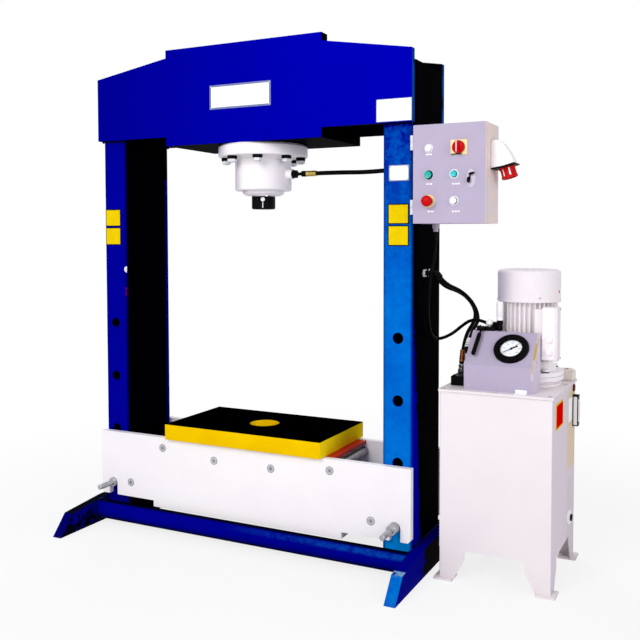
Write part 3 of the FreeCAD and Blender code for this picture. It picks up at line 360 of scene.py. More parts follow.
def boxFinish():
    # light grey powder coat; the right-facing sides of box and console are painted lighter as painted light, warm and
    # patchy on the box above 1 m
    shader = Shader("boxGrey")
    x, z = shader.axes()[::2]
    side = shader.ramp(shader.facing()[0], 0.5, 0.9)
    warmLitSide = shader.mix(shader.patches(0.40, 0.62, 9, 3, 0.5), seen(222, 210, 216), seen(232, 212, 204))
    worn = x.above(0.8695) * z.below(0.95) * z.above(0.72) * (1 - side)
    rust = (x.above(0.8700) * z.below(0.855) * shader.ramp(z, 0.735, 0.77)
            * shader.ramp(shader.noise(30, 4, 0.6) + worn * 0.12, 0.52, 0.66))
    tone = shader.layers(
        seen(184, 173, 196), (shader.patches(0.3, 0.7, 4, 4, 0.6) * 0.8, seen(177, 166, 190)),
        # painted light: right-facing sides lighter
        (side, shader.mix(z.above(1.0), seen(216, 203, 222), warmLitSide)),
        (worn * 0.75, seen(206, 194, 200)), (rust * (1 - side * 0.6) * 0.9, seen(186, 156, 30)))
    return shader.set(0.10, Base_Color=tone, Roughness=0.50 + (shader.noise(14, 3) - 0.5) * 0.12,
                      Normal=shader.bump(shader.noise(700, 2, 0.5), 0.14, 0.0004))


def tankFinish():
    # white enamel with painted shade in lilac grey on its right-facing side; a yellow oil stain runs down the right
    # side below the level glass
    shader = Shader("tankWhite")
    y, z = shader.axes()[1:]
    side = shader.ramp(shader.facing()[0], 0.5, 0.9)
    stained = side * shader.ramp(y, 0.115, 0.165)
    stain = stained * shader.ramp(z, 0.352, 0.366) * (1 - shader.ramp(z, 0.64, 0.67))
    runs = shader.patches(0.25, 0.65, 16, 3, 0.6, (1, 1, 0.12))
    low = 1 - shader.ramp(z + shader.noise(9, 3) * 0.08, 0.03, 0.14)
    tone = shader.layers(
        seen(238, 230, 232), (shader.patches(0.32, 0.72, 2.4, 4, 0.6) * 0.8, seen(231, 221, 225)),
        # painted shade: the right-facing side in lilac grey
        (side, seen(217, 205, 216)), (stain * (runs * 0.6 + 0.40), seen(216, 192, 140)),
        (stained * (1 - shader.ramp(z, 0.30, 0.366)) * 0.5, seen(200, 190, 196)), (low * 0.10, (0.42, 0.39, 0.36)))
    return shader.paint(tone, 0.44, 0.10, 0.14, 20, 0.0007)


def paneFinish():
    shader = Shader("glassPane")
    smear = shader.patches(0.4, 0.8, 40, 3)
    return shader.set(Transmission_Weight=1.0, IOR=1.15, Base_Color=(0.98, 0.99, 0.99), Roughness=0.02 + smear * 0.05)


paints = {"headBlue": headFinish(), "columnBlue": columnFinish(), "footBlue": footFinish(), "boxGrey": boxFinish(),
          "tankWhite": tankFinish(), "tablePaint": tableFinish(), "glassPane": paneFinish()}
recipes = {
    enamel: {
        "machineWhite": (seen(247, 243, 244), seen(238, 233, 236), 0.42, 0.04),
        # cylinderWhite's last colour is painted shade for its left-facing side
        "cylinderWhite": (seen(248, 243, 244), seen(243, 236, 240), 0.36, 0.0, 0.14, seen(180, 171, 194)),
        "crossRed": ((0.62, 0.012, 0.010), (0.45, 0.010, 0.008), 0.36),
        "blackPaint": ((0.0010, 0.0010, 0.0014), (0.0025, 0.0025, 0.003), 0.46, 0.0, 0.05),
    },
    casting: {
        "motorWhite": (seen(250, 244, 246), seen(245, 238, 241), 0.46, 200, 0.2),
        # cowlWhite's last colour is painted shade for its left-facing side
        "cowlWhite": (seen(240, 232, 235), seen(234, 226, 231), 0.46, 200, 0.2, seen(184, 176, 200)),
        "filterBeige": (seen(238, 226, 216), seen(226, 214, 204), 0.5, 200, 0.2),
        "castIron": ((0.20, 0.20, 0.21), (0.13, 0.13, 0.14)),
    },
    plastic: {
        "blackPlastic": ((0.0010, 0.0010, 0.0014), (0.0030, 0.0030, 0.0034), 0.48, 0.12, 0.05),
        "whitePlastic": (seen(248, 247, 249), seen(240, 238, 242), 0.35),
        "creamPlastic": (seen(240, 228, 178), seen(226, 206, 120), 0.38),
        "redPlastic": (seen(206, 1, 6), seen(178, 0, 3), 0.34, 0.12, 0.10),
        "greenPlastic": (seen(10, 172, 160), seen(4, 150, 142), 0.30),
        "tealPlastic": (seen(24, 200, 200), seen(10, 186, 190), 0.30),
        "palePlastic": (seen(226, 226, 232), seen(210, 208, 218), 0.34),
        "hoseRubber": ((0.0010, 0.0010, 0.0012), (0.0025, 0.0025, 0.003), 0.50, 0.25, 0.03),
        "dialWhite": (seen(250, 250, 251), seen(243, 243, 246), 0.45, 0.05),
        "boxPlate": (seen(206, 198, 214), seen(198, 190, 206), 0.45, 0.08),
        "glandGrey": (seen(180, 178, 190), seen(164, 162, 174), 0.40),
        "darkRed": (seen(92, 14, 14), seen(70, 10, 12), 0.40, 0.06, 0.12),
        "labelWhite": (seen(252, 252, 253), seen(245, 245, 248), 0.40, 0.06),
        "labelGrey": (seen(118, 126, 168), seen(100, 108, 150), 0.45, 0.06),
        "labelYellow": (seen(232, 200, 1), seen(218, 184, 1), 0.46, 0.06, 0.02),
        "labelOrange": (seen(226, 4, 0), seen(206, 2, 0), 0.46, 0.06, 0.0),
    },
    steel: {
        "turnedSteel": ((0.50, 0.50, 0.52), (0.36, 0.36, 0.38), 0.30, 1.0, 0.5, (1, 0.04, 1)),
        "platedSteel": ((0.62, 0.62, 0.63), (0.48, 0.48, 0.50), 0.32),
        "blackSteel": ((0.0012, 0.0012, 0.0015), (0.003, 0.003, 0.0035), 0.50, 0.1, 0.06, (0.04, 0.04, 1)),
        # darker steel for the bed spacers, partly painted shade under the table
        "dullSteel": ((0.34, 0.34, 0.36), (0.22, 0.22, 0.24), 0.42),
        "nutWhite": ((0.86, 0.86, 0.88), (0.76, 0.76, 0.78), 0.46, 0.0, 0.3),
        "screwGrey": ((0.60, 0.60, 0.65), (0.48, 0.48, 0.54), 0.44, 0.1, 0.2),
        "brightScrew": ((0.90, 0.90, 0.92), (0.80, 0.80, 0.82), 0.30, 0.5),
        "warmBrass": ((0.20, 0.055, 0.012), (0.40, 0.15, 0.03), 0.40),
        "hardChrome": ((0.78, 0.78, 0.80), (0.70, 0.70, 0.72), 0.10, 1.0, 0.5, (0.05, 0.05, 1), 500),
        "brass": ((0.62, 0.47, 0.12), (0.46, 0.35, 0.08), 0.34),
    },
    # the blue bead is near black as painted shade, as in the shadow under the head plate
    beadFinish: {"blueBead": ((0.0002, 0.0004, 0.075),), "whiteBead": (seen(238, 230, 234),)},
}
for make, table in recipes.items():
    for name, values in table.items():
        paints[name] = make(name, *values)

print("materials made")

nodePaints = {
    "headBlue": "head_front_plate head_rear_plate cylinder_seat",
    "columnBlue": "left_upright right_upright",
    "footBlue": "left_foot right_foot front_cross_tube rear_cross_tube",
    "cylinderWhite": "cylinder_barrel cylinder_gland",
    "machineWhite": "bed_front_plate bed_rear_plate",
    "tankWhite": "tank_body tank_lid",
    "boxGrey": "box_shell box_door console_cover",
    "crossRed": "bed_cross_bars",
    "tablePaint": "table_plate",
    "motorWhite": "motor_housing bell_housing",
    "cowlWhite": "motor_cowl",
    "filterBeige": "return_filter",
    "dullSteel": "bed_spacers",
    "turnedSteel": "left_pin right_pin upper_pipe",
    "platedSteel": "cylinder_bolts hose_unions",
    "blackSteel": "ram_nose door_lock gauge_needle drain_plug",
    "hardChrome": "ram_rod",
    "castIron": "ram_piston pump motor_rotor",
    "blackPaint": "gauge_case valve_block manifold_block",
    "blackPlastic": "device_collars valve_lever filler_cap",
    "whitePlastic": "white_button signal_lamp relief_knob pressure_switch relay_panel power_inlet level_gauge",
    "redPlastic": "emergency_button main_switch",
    "greenPlastic": "green_button",
    "tealPlastic": "teal_button",
    "glassPane": "gauge_glass",
    "hoseRubber": "cylinder_hose lower_line upper_line control_cable",
}
for paint, names in nodePaints.items():
    for name in names.split():
        cad[name].data.materials.clear()
        cad[name].data.materials.append(paints[paint])


# cords: the same routes as the solid tubes, in metres from the ram's axis
def cordCurve(name, points, radius):
    curve = bpy.data.curves.new(name, "CURVE")
    curve.dimensions = "3D"
    curve.bevel_depth = radius
    curve.bevel_resolution = 5
    curve.resolution_u = 12
    curve.use_fill_caps = True
    spline = curve.splines.new("NURBS")
    spline.points.add(len(points) - 1)
    for point, (x, y, z) in zip(spline.points, points):
        point.co = (pressX + x, y, z, 1)
    spline.order_u = 3
    spline.use_endpoint_u = True
    piece = bpy.data.objects.new(name, curve)
    bpy.context.scene.collection.objects.link(piece)
    return piece


cords = {
    "cylinder_hose": {
        "radius": 0.0085, "length": 0.693, "stiffness": "stiff",
        "route": [(0.238, 0, 1.453), (0.340, 0, 1.453), (0.450, 0.003, 1.450), (0.560, 0.006, 1.456),
                  (0.613, 0.009, 1.430), (0.641, 0.010, 1.378), (0.651, 0.010, 1.290), (0.650, 0.010, 1.200),
                  (0.650, 0.010, 1.122)],
    },
    "lower_line": {
        "radius": 0.007, "length": 0.441, "stiffness": "stiff",
        "route": [(0.72241, 0.03458, 1.05749), (0.724, 0.083, 1.023), (0.779, 0.155, 0.996), (0.821, 0.167, 0.952),
                  (0.843, 0.140, 0.900), (0.820, 0.062, 0.841), (0.816, 0.050, 0.768)],
    },
    "upper_line": {
        "radius": 0.007, "length": 0.423, "stiffness": "stiff",
        "route": [(0.75447, -0.02224, 1.05983), (0.759, 0.025, 1.032), (0.791, 0.115, 1.004), (0.834, 0.137, 0.954),
                  (0.862, 0.109, 0.898), (0.855, 0.038, 0.863), (0.856, -0.008, 0.822)],
    },
    "control_cable": {
        "radius": 0.006, "length": 0.699, "stiffness": "medium",
        "route": [(0.746, -0.050, 1.224), (0.746, -0.050, 1.150), (0.734, -0.077, 1.064), (0.722, -0.064, 0.970),
                  (0.714, -0.040, 0.902), (0.710, 0.009, 0.836), (0.725, 0.060, 0.824), (0.762, 0.095, 0.842),
                  (0.803, 0.093, 0.877), (0.843, 0.061, 0.901), (0.883, 0.053, 0.904), (0.916, 0.058, 0.889)],
    },
}
for node, cord in cords.items():
    piece = cordCurve(node + "_curve", cord["route"], cord["radius"])
    piece.data.materials.append(paints["hoseRubber"])
    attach(piece, "frame")
    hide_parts(node)
    x, y, z = cord["route"][0]
    pressX + x
    2 * cord["radius"]
print("cords laid")


# modelling tools: pieces are made in millimetres about their own middle or the ram's axis,
# stood in place, and their place then goes into the mesh
def clearSelection():
    if bpy.context.mode != "OBJECT":
        bpy.ops.object.mode_set(mode="OBJECT")
    bpy.ops.object.select_all(action="DESELECT")


def choose(*pieces):
    clearSelection()
    for piece in pieces:
        piece.select_set(True)
    bpy.context.view_layer.objects.active = pieces[0]


def editing(piece, kind="VERT"):
    choose(piece)
    bpy.ops.object.mode_set(mode="EDIT")
    bpy.ops.mesh.select_mode(type=kind)
    bpy.ops.mesh.select_all(action="SELECT")


def pickFaces(piece, way):               # the faces that look one way
    bpy.ops.mesh.select_mode(type="FACE")
    bpy.ops.mesh.select_all(action="DESELECT")
    shape = bmesh.from_edit_mesh(piece.data)
    for face in shape.faces:
        if face.normal.dot(Vector(way)) > 0.99:
            face.select_set(True)
    bmesh.update_edit_mesh(piece.data)


def extrude(x, y, z):                    # the chosen faces, pulled out by a step in millimetres
    bpy.ops.mesh.extrude_region_move(TRANSFORM_OT_translate={"value": (x / 1000, y / 1000, z / 1000)})


def stand(piece, place=(0, 0, 0), aim=(0, 0, 1), spin=0):
    turn = Vector((0, 0, 1)).rotation_difference(Vector(aim).normalized())
    piece.rotation_mode = "QUATERNION"
    piece.rotation_quaternion = turn @ Quaternion((0, 0, 1), math.radians(spin))
    piece.location = at(*place)
    return piece


def slab(name, low, high, round=1.0, segments=2):
    # a box with softened edges
    clearSelection()
    low, high = Vector(low) / 1000, Vector(high) / 1000
    bpy.ops.mesh.primitive_cube_add(size=1, location=(low + high) / 2, scale=high - low)
    piece = bpy.context.object
    piece.name = name
    bpy.ops.object.transform_apply(location=True, rotation=True, scale=True)
    editing(piece, "EDGE")
    bpy.ops.mesh.bevel(offset=round / 1000, offset_type="OFFSET", segments=segments, profile=0.5, affect="EDGES")
    clearSelection()
    return stand(piece)


def drawn(name, spots):
    # one vertex pulled from spot to spot
    clearSelection()
    bpy.ops.mesh.primitive_plane_add(size=0.01, location=(0, 0, 0))
    piece = bpy.context.object
    piece.name = name
    editing(piece)
    bpy.ops.mesh.merge(type="CENTER")
    bpy.ops.mesh.select_all(action="SELECT")
    spots = [Vector(spot) / 1000 for spot in spots]
    bpy.ops.transform.translate(value=spots[0])
    for here, there in zip(spots, spots[1:]):
        bpy.ops.mesh.extrude_vertices_move(TRANSFORM_OT_translate={"value": there - here})
    bpy.ops.mesh.select_all(action="SELECT")
    return piece


def lathe(name, outline, sides=48):
    # an outline of (radius, height) spun about Z
    piece = drawn(name, [(radius, 0, height) for radius, height in outline])
    bpy.ops.mesh.spin(steps=sides, angle=2 * math.pi, center=(0, 0, 0), axis=(0, 0, 1))
    bpy.ops.mesh.select_all(action="SELECT")
    bpy.ops.mesh.remove_doubles(threshold=0.00001)
    clearSelection()
    return stand(piece)


def ridges(pitch, *ridge):               # four ridges of an outline, one every pitch
    return [(radius, height + pitch * i) for i in range(4) for radius, height in ridge]


def grown(name, steps, sides=6):
    # a many-sided disc extruded upwards, ring by ring: steps are (corner radius, height)
    clearSelection()
    radius, height = steps[0]
    bpy.ops.mesh.primitive_circle_add(vertices=sides, radius=radius / 1000, fill_type="NGON",
                                      location=(0, 0, height / 1000))
    piece = bpy.context.object
    piece.name = name
    bpy.ops.object.transform_apply(location=True, rotation=True, scale=True)
    editing(piece, "FACE")
    for nextRadius, nextHeight in steps[1:]:
        extrude(0, 0, nextHeight - height)
        if nextRadius != radius:
            k = nextRadius / radius
            bpy.ops.transform.resize(value=(k, k, 1), center_override=(0, 0, nextHeight / 1000))
        radius, height = nextRadius, nextHeight
    clearSelection()
    return stand(piece)


def soften(piece, width):
    choose(piece)
    bevel = piece.modifiers.new("softEdges", "BEVEL")
    bevel.width = width / 1000
    bevel.segments = 2
    bevel.limit_method = "ANGLE"
    bevel.angle_limit = math.radians(30)
    bpy.ops.object.modifier_apply(modifier=bevel.name)
    return piece


def pulled(name, outline, axis, low, high, round):
    # an outline drawn across an axis, filled, pulled along it, its edges softened
    along = "XYZ".index(axis)
    piece = drawn(name, [pair[:along] + (low,) + pair[along:] for pair in outline])
    bpy.ops.mesh.edge_face_add()
    extrude(*[high - low if i == along else 0 for i in range(3)])
    bpy.ops.mesh.select_all(action="SELECT")
    bpy.ops.mesh.normals_make_consistent(inside=False)
    clearSelection()
    stand(piece)
    return soften(piece, round) if round else piece


def tube(name, spots, radius, corner=0.0, wave=0.0):
    # a round bar or bead along spots; its corners may be rounded and its thickness may ripple
    curve = bpy.data.curves.new(name, "CURVE")
    curve.dimensions = "3D"
    curve.bevel_depth = radius / 1000
    curve.bevel_resolution = 4
    curve.use_fill_caps = True
    spots = [Vector(spot) for spot in spots]
    if corner:
        softer = [spots[0]]
        for before, here, after in zip(spots, spots[1:], spots[2:]):
            a, b = here + (before - here).normalized() * corner, here + (after - here).normalized() * corner
            softer += [a.lerp(here, t).lerp(here.lerp(b, t), t) for t in (0, 0.2, 0.4, 0.6, 0.8, 1)]
        spots = softer + [spots[-1]]
    spline = curve.splines.new("POLY")
    spline.points.add(len(spots) - 1)
    for i, (point, spot) in enumerate(zip(spline.points, spots)):
        point.co = (*(spot / 1000), 1)
        point.radius = 1 + wave * math.sin(i * 2.1)
    piece = bpy.data.objects.new(name, curve)
    bpy.context.scene.collection.objects.link(piece)
    choose(piece)
    bpy.ops.object.convert(target="MESH")
    return stand(bpy.context.object)


def copied(piece, name, degrees, axis, point):
    # a twin with its own mesh, turned about an axis through a point
    twin = piece.copy()
    twin.data = piece.data.copy()
    bpy.context.scene.collection.objects.link(twin)
    twin.name = name
    middle = Matrix.Translation(at(*point))
    turn = Matrix.Rotation(math.radians(degrees), 4, axis)
    twin.matrix_basis = middle @ turn @ middle.inverted() @ piece.matrix_basis
    return twin


def joined(name, pieces):
    if len(pieces) > 1:
        choose(*pieces)
        bpy.ops.object.join()
    pieces[0].name = name
    return pieces[0]


def ringOf(piece, point, count, axis="Z"):
    twins = [copied(piece, piece.name + str(i), 360 / count * i, axis, point) for i in range(1, count)]
    return joined(piece.name, [piece] + twins)


def spread(name, places, aim, make, *shape):
    # several alike in one piece, each at its own place
    return joined(name, [stand(make(name, *shape), place, aim) for place in places])


def finished(piece, paint, body="frame", slot=None, node=None):
    # the place goes into the mesh, faces point outwards, and the piece gets its paint and its body
    choose(piece)
    bpy.ops.object.transform_apply(location=True, rotation=True, scale=True)
    editing(piece)
    bpy.ops.mesh.remove_doubles(threshold=0.00001)
    bpy.ops.mesh.normals_make_consistent(inside=False)
    choose(piece)
    bpy.ops.object.shade_smooth_by_angle(angle=math.radians(35))
    if not piece.data.materials:
        piece.data.materials.append(paints[paint])
    piece.data.name = piece.name
    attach(piece, body)
    if node:
        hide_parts(node)


def put(piece, paint, place, aim=(0, 0, 1), spin=0, **owner):
    finished(stand(piece, place, aim, spin), paint, **owner)


def socketScrew(name, radius, thick):
    # a cylinder-head screw lying on z = 0, with its hexagon socket
    corner = radius * 0.58
    head = lathe(name, [(0, -1), (radius, -1), (radius, thick - 1), (radius - 1, thick), (radius * 0.62, thick),
                        (corner, thick - 0.6), (corner, thick * 0.4), (0, thick * 0.4)], 24)
    socket = grown(name + "Socket", [(corner, thick * 0.35), (corner, thick * 0.55), (corner * 0.9, thick * 0.55),
                                     (corner * 0.9, thick * 0.42)])
    return joined(name, [head, socket])


def hexNut(name, across, low, high):
    corner, chamfer = across / 3 ** 0.5, across * 0.055
    return grown(name, [(corner * 0.93, low), (corner, low + chamfer), (corner, high - chamfer),
                        (corner * 0.93, high), (corner * 0.80, high), (corner * 0.78, high - 0.4)])


def screwRow(name, places, aim, radius, thick, paint="platedSteel", body="frame"):
    finished(spread(name, places, aim, socketScrew, radius, thick), paint, body)


def ringPlaces(place, aim, radius, turns, height=0):       # spots round a place, seen along an aim
    lean = Vector((0, 0, 1)).rotation_difference(Vector(aim).normalized())
    angles = [math.radians(turn) for turn in turns]
    return [Vector(place) + lean @ Vector((radius * math.cos(a), radius * math.sin(a), height)) for a in angles]


def bead(name, start, end, paint="blueBead", radius=4.5, wave=0.22, pitch=4.0):
    start, end = Vector(start), Vector(end)
    count = max(4, int((end - start).length / pitch))
    finished(tube(name, [start.lerp(end, i / count) for i in range(count + 1)], radius, wave=wave), paint)


def sheetPlate(name, low, high, rim, rimPaint, face, way=(0, -1, 0), sunk=0.35):
    # a thin plate: its rim is one paint, the sunk panel inside the rim another
    piece = slab(name, low, high, 0.3, 1)
    for paint in (rimPaint, face):
        piece.data.materials.append(paints[paint])
    editing(piece)
    pickFaces(piece, way)
    bpy.ops.mesh.inset(thickness=rim / 1000)
    piece.active_material_index = 1
    bpy.ops.object.material_slot_assign()
    extrude(*(Vector(way) * -sunk))
    finished(piece, face)


# press frame: weld beads at the head, the feet, the cross tubes and the head's bars
tubeBead = {"x": 699, "y": 184, "z": 56, "radius": 39.5, "thick": 3.5, "wave": 0.22}
for side, tag in ((-1, "left"), (1, "right")):
    for face, far in ((-1, "Front"), (1, "Rear")):
        bead(tag + "HeadBead" + far, (side * 582, face * 148, 1603), (side * 694, face * 148, 1603))
        bead(tag + "FootBead" + far, (side * 698.5, face * 147.5, 6), (side * 698.5, face * 147.5, 98))
        turns = [math.radians(5 * i) for i in range(73)]
        spots = [(side * tubeBead["x"], face * tubeBead["y"] + tubeBead["radius"] * math.cos(a),
                  tubeBead["z"] + tubeBead["radius"] * math.sin(a)) for a in turns]
        finished(tube(tag + "TubeBead" + far, spots, tubeBead["thick"], wave=tubeBead["wave"]), "blueBead")
    bead(tag + "FootTopBead", (side * 701.5, -140, 101), (side * 701.5, 140, 101))
for face, tag in ((-1, "front"), (1, "rear")):
    for height, word in ((1606.5, "Low"), (1915.5, "High")):
        bead(tag + "BarBead" + word, (-344, face * 144.5, height), (344, face * 144.5, height))

# bare plates on head and uprights: two corners, the rim's width and paint, the panel's paint
plates = {
    "namePlate": ((-138, -172.4, 1699), (136.5, -170.6, 1792), 7, "labelGrey", "labelWhite"),
    "ratingPlate": ((566, -172.4, 1608), (700, -170.6, 1688), 1.5, "labelGrey", "labelWhite"),
    "rightTag": ((604, -147.4, 1402), (681.5, -145.6, 1459), 3, "labelGrey", "labelWhite"),
    "leftPlateUpper": ((-686, -147.4, 1251), (-607, -145.6, 1322), 3, "blackPlastic", "labelYellow"),
    "leftPlateLower": ((-686, -147.4, 1173), (-607, -145.6, 1246), 3, "blackPlastic", "labelYellow"),
    "rightPlateUpper": ((601, -147.4, 1251), (680, -145.6, 1322), 3, "blackPlastic", "labelYellow"),
    "rightPlateLower": ((601, -147.4, 1174), (680, -145.6, 1246), 3, "blackPlastic", "labelYellow"),
}
for name, plate in plates.items():
    sheetPlate(name, *plate)
rivet = {"inset": 7, "outline": [(0, -0.5), (3.2, -0.5), (3.2, 0.4), (2.2, 1.2), (0, 1.6)]}
for name in ("namePlate", "rightTag"):
    low, high = plates[name][:2]
    spots = [(x, low[1] + 0.4, z) for x in (low[0] + rivet["inset"], high[0] - rivet["inset"])
             for z in (low[2] + rivet["inset"], high[2] - rivet["inset"])]
    finished(spread(name + "Rivets", spots, (0, -1, 0), lathe, rivet["outline"], 16), "platedSteel")

# a bright half-round stop welded at the left upright's inner front edge
stop = {"x": -577, "z": 1071, "wide": 14, "high": 13}
arc = [(stop["x"] + stop["wide"] * math.cos(a), stop["z"] + stop["high"] * math.sin(a))
       for a in map(math.radians, range(90, 271, 15))]
finished(pulled("edgeStop", arc, "Y", -147.4, -145.5, 0.4), "palePlastic", slot="plated_steel")

# the hose's rubber grommet in the right upright
put(lathe("hoseGrommet", [(15, -5), (23, -5), (23, 0), (28, 0), (28, 4), (25, 6), (16, 6), (14, 3), (14, -3),
                          (15, -5)], 32), "hoseRubber", (576, 7, 1445), (-1, 0, 0))

# socket screws in the ends of the bed's spacers: how far out, and how high
bedScrews = {547: 182, 381: 345, 130: 322}
bedFace = 172
for face, tag in ((-1, "Front"), (1, "Rear")):
    spots = [(side * x, face * bedFace, z) for x, z in bedScrews.items() for side in (-1, 1)]
    screwRow("bedScrews" + tag, spots, (0, face, 0), 13.5, 3, "screwGrey", "bed")

# the table plate, its edges broken by a small round
table = {"halfX": 352, "halfY": 194, "low": 388, "high": 451, "bore": 60, "round": 1.6}
plate = slab("tablePlate", (-table["halfX"], -table["halfY"], table["low"]),
             (table["halfX"], table["halfY"], table["high"]), table["round"], 2)
cutter = grown("tableBore", [(table["bore"], table["low"] - 5), (table["bore"], table["high"] + 5)], 96)
bpy.context.view_layer.update()
hole = plate.modifiers.new("hole", "BOOLEAN")
hole.operation = "DIFFERENCE"
hole.solver = "EXACT"
hole.object = cutter
choose(plate)
bpy.ops.object.modifier_apply(modifier=hole.name)
bpy.data.objects.remove(cutter)
finished(plate, "tablePaint", "bed", node="table_plate")

# pins: a turned bar with a chamfered grip
pins = {"left_pin": (-640, -260, 172), "right_pin": (640, -290, 172)}
for node, front in pins.items():
    bar = lathe(node + "Bar", [(0, 0), (8.5, 0), (10.5, 2), (10.5, 78), (12.5, 80), (17.5, 80), (19.5, 82),
                               (19.5, 478), (17.5, 480), (0, 480)], 40)
    put(bar, "turnedSteel", front, (0, 1, 0), body=node + "_body", node=node)
print("press frame dressed")


# cylinder: washers, nuts and stud ends below the flange, the port's fitting, the nose's screw
flange = {"low": 1522, "boltCircle": 150, "firstAngle": 22.5, "count": 8}


def flangeRing(piece, paint, aim=(0, 0, -1), spin=0, node=None):
    place = ringPlaces((0, 0, flange["low"]), (0, 0, 1), flange["boltCircle"], [flange["firstAngle"]])[0]
    finished(ringOf(stand(piece, place, aim, spin), (0, 0, 0), flange["count"]), paint, node=node)


# real washers, drawn thick and black as painted shade round the nuts
flangeRing(lathe("flangeWashers", [(12.2, 0), (18.2, 0), (19, -0.8), (19, -11.7), (18.2, -12.5), (12.2, -12.5),
                                   (12.2, 0)], 32), "blackSteel", (0, 0, 1))
flangeRing(hexNut("flangeNuts", 32, 12.5, 23.5), "nutWhite", spin=12, node="cylinder_bolts")
thread = [(0, 27), (9.5, 27), (11.5, 25.6)] + ridges(-1.75, (12, 25), (11, 24.1)) + [(11, 2), (0, 2)]
flangeRing(lathe("flangeStuds", thread, 24), "nutWhite")

port = {"place": (136, 0, 1453), "aim": (1, 0, 0)}
fitting = [hexNut("portNut", 30, 0, 17), hexNut("portSwivel", 22, 40, 58),
           lathe("portNipple", [(0, -2), (8, -2), (8, 22), (6.2, 26), (6.2, 40), (8, 41), (8, 64), (0, 64)], 24)]
put(joined("portFitting", fitting), "blackSteel", **port, slot="plated_steel", node="hose_unions")
crimp = [(0, 60), (9, 60), (11.2, 62)] + ridges(9, (11.5, 66), (11.5, 71), (10.4, 72.5))
put(lathe("hoseCrimp", crimp + [(10.8, 104), (9.2, 105), (0, 105)], 28), "brass", **port)

nose = {"screw": (21, -40.5, 1355), "slot": (21.6, -41.8, 1338), "aim": (0.46, -0.89, 0)}
noseScrew = stand(socketScrew("noseScrew", 8.5, 4), nose["screw"], nose["aim"])
# a bright strip below the screw: a painted highlight, the glare line down the black nose
noseSlot = stand(slab("noseSlot", (-1.6, -17, -1), (1.6, 17, 1.2), 0.4, 1), nose["slot"])
noseSlot.rotation_quaternion = Quaternion((0, 0, 1), math.atan2(0.46, 0.89)) @ Quaternion((1, 0, 0), math.pi / 2)
finished(joined("noseScrew", [noseScrew, noseSlot]), "brightScrew", "ram")
noseBand = [(46.2, 1325), (47.25, 1325.4), (47.25, 1327.6), (46.2, 1328), (46.2, 1325)]
finished(lathe("noseBand", noseBand, 64), "blackPlastic", "ram", "black_steel")

# bulkhead unions through the right upright, each with its elbow, nuts and ferrule
unions = {
    "lower": {"y": 10, "knee": (722, 10, 1075), "end": (722.41, 34.58, 1057.49), "top": 1122, "sleeve": 11},
    "upper": {"y": -48, "knee": (752, -48, 1075), "end": (754.47, -22.24, 1059.83), "top": 1110, "sleeve": 8},
}
for tag, union in unions.items():
    y, top, wide = union["y"], union["top"], union["sleeve"]
    bar = tube(tag + "UnionBar", [(650, y, top), (650, y, 1075), union["knee"], union["end"]], 9, 14)
    # plated elbows painted black as painted shade on the upright's shaded outer side
    finished(bar, "blackSteel", slot="plated_steel")
    nuts = [stand(hexNut(tag + "Nuts", 30, 0, 11), (677, y, 1075), (1, 0, 0)),
            stand(hexNut("nut", 27, 0, 9), (700, y, 1075), (1, 0, 0)), stand(hexNut("nut", 26, 0, 14), (650, y, 1092))]
    finished(joined(tag + "Nuts", nuts), "nutWhite")
    knee, end = Vector(union["knee"]), Vector(union["end"])
    # the plated sleeves are painted black too, as painted shade
    put(lathe(tag + "Sleeve", [(0, 4), (9, 4), (10.5, 6), (10.5, 12), (9.4, 13), (9.4, 19), (10.5, 20), (10.5, 27),
                               (8.6, 31), (0, 31)], 28), "blackSteel", knee, end - knee, slot="plated_steel")
    put(lathe(tag + "Riser", [(0, 0), (wide - 1, 0), (wide, 2), (wide, 22), (wide - 1.5, 25), (0, 25)], 28),
        "platedSteel", (650, y, top - 25))
print("cylinder and unions dressed")


# control box: middles of the devices on the door, across and up
devices = {"lamp": (762, 1508), "green": (762, 1418), "emergency": (762, 1328), "teal": (853, 1418),
           "white": (853, 1328), "switch": (869, 1508), "switchLine": (867.5, 1508), "lock": (911, 1403)}
doorFace = -170


def onDoor(piece, device, paint, body="door", **owner):
    x, z = devices[device]
    put(piece, paint, (x, doorFace, z), (0, -1, 0), body=body, **owner)


# rings round the devices: outer and inner radius, thickness, paint
# greenSeat: a black ring inside the green button's pale ring, as painted shade round the cap
rings = {"greenRing": ("green", 18, 15.6, 3.2, "palePlastic"), "greenSeat": ("green", 15.8, 13.8, 6.4, "blackPlastic"),
         "tealRing": ("teal", 17.5, 11.2, 4.6, "palePlastic"), "whiteRing": ("white", 17.5, 11.2, 4.6, "palePlastic"),
         "lampRing": ("lamp", 16.2, 11.0, 3.6, "palePlastic"),
         "emergencyRing": ("emergency", 22.5, 10.8, 3.4, "creamPlastic")}
for name, (device, outer, inner, thick, paint) in rings.items():
    ring = [(inner, -0.5), (outer, -0.5), (outer, thick * 0.4), (outer - 1.4, thick), (inner + 1.2, thick),
            (inner, thick - 1), (inner, -0.5)]
    onDoor(lathe(name, ring, 40), device, paint)

onDoor(lathe("lampLens", [(0, 2), (11.2, 2), (11.2, 8), (10, 11.5), (6.5, 14), (0, 15)], 36), "lamp", "whitePlastic",
       node="signal_lamp")
for colour, r in {"green": 13, "teal": 9.9, "white": 11}.items():
    cap = lathe(colour + "Cap", [(0, -8), (9.9, -8), (9.9, 10), (r - 0.6, 10), (r, 10.6), (r, 12.6), (r - 0.8, 13.6),
                                 (r * 0.6, 12.9), (0, 12.6)], 40)
    onDoor(cap, colour, colour + "Plastic", colour, node=colour + "_button")
head = lathe("emergencyHead", [(0, -8), (9.9, -8), (9.9, 15), (17.4, 16.4), (18.8, 19), (19.3, 23), (18.2, 28.5),
                               (14.4, 32.6), (8, 34.6), (0, 35)], 48)
onDoor(head, "emergency", "redPlastic", "emergency", node="emergency_button")

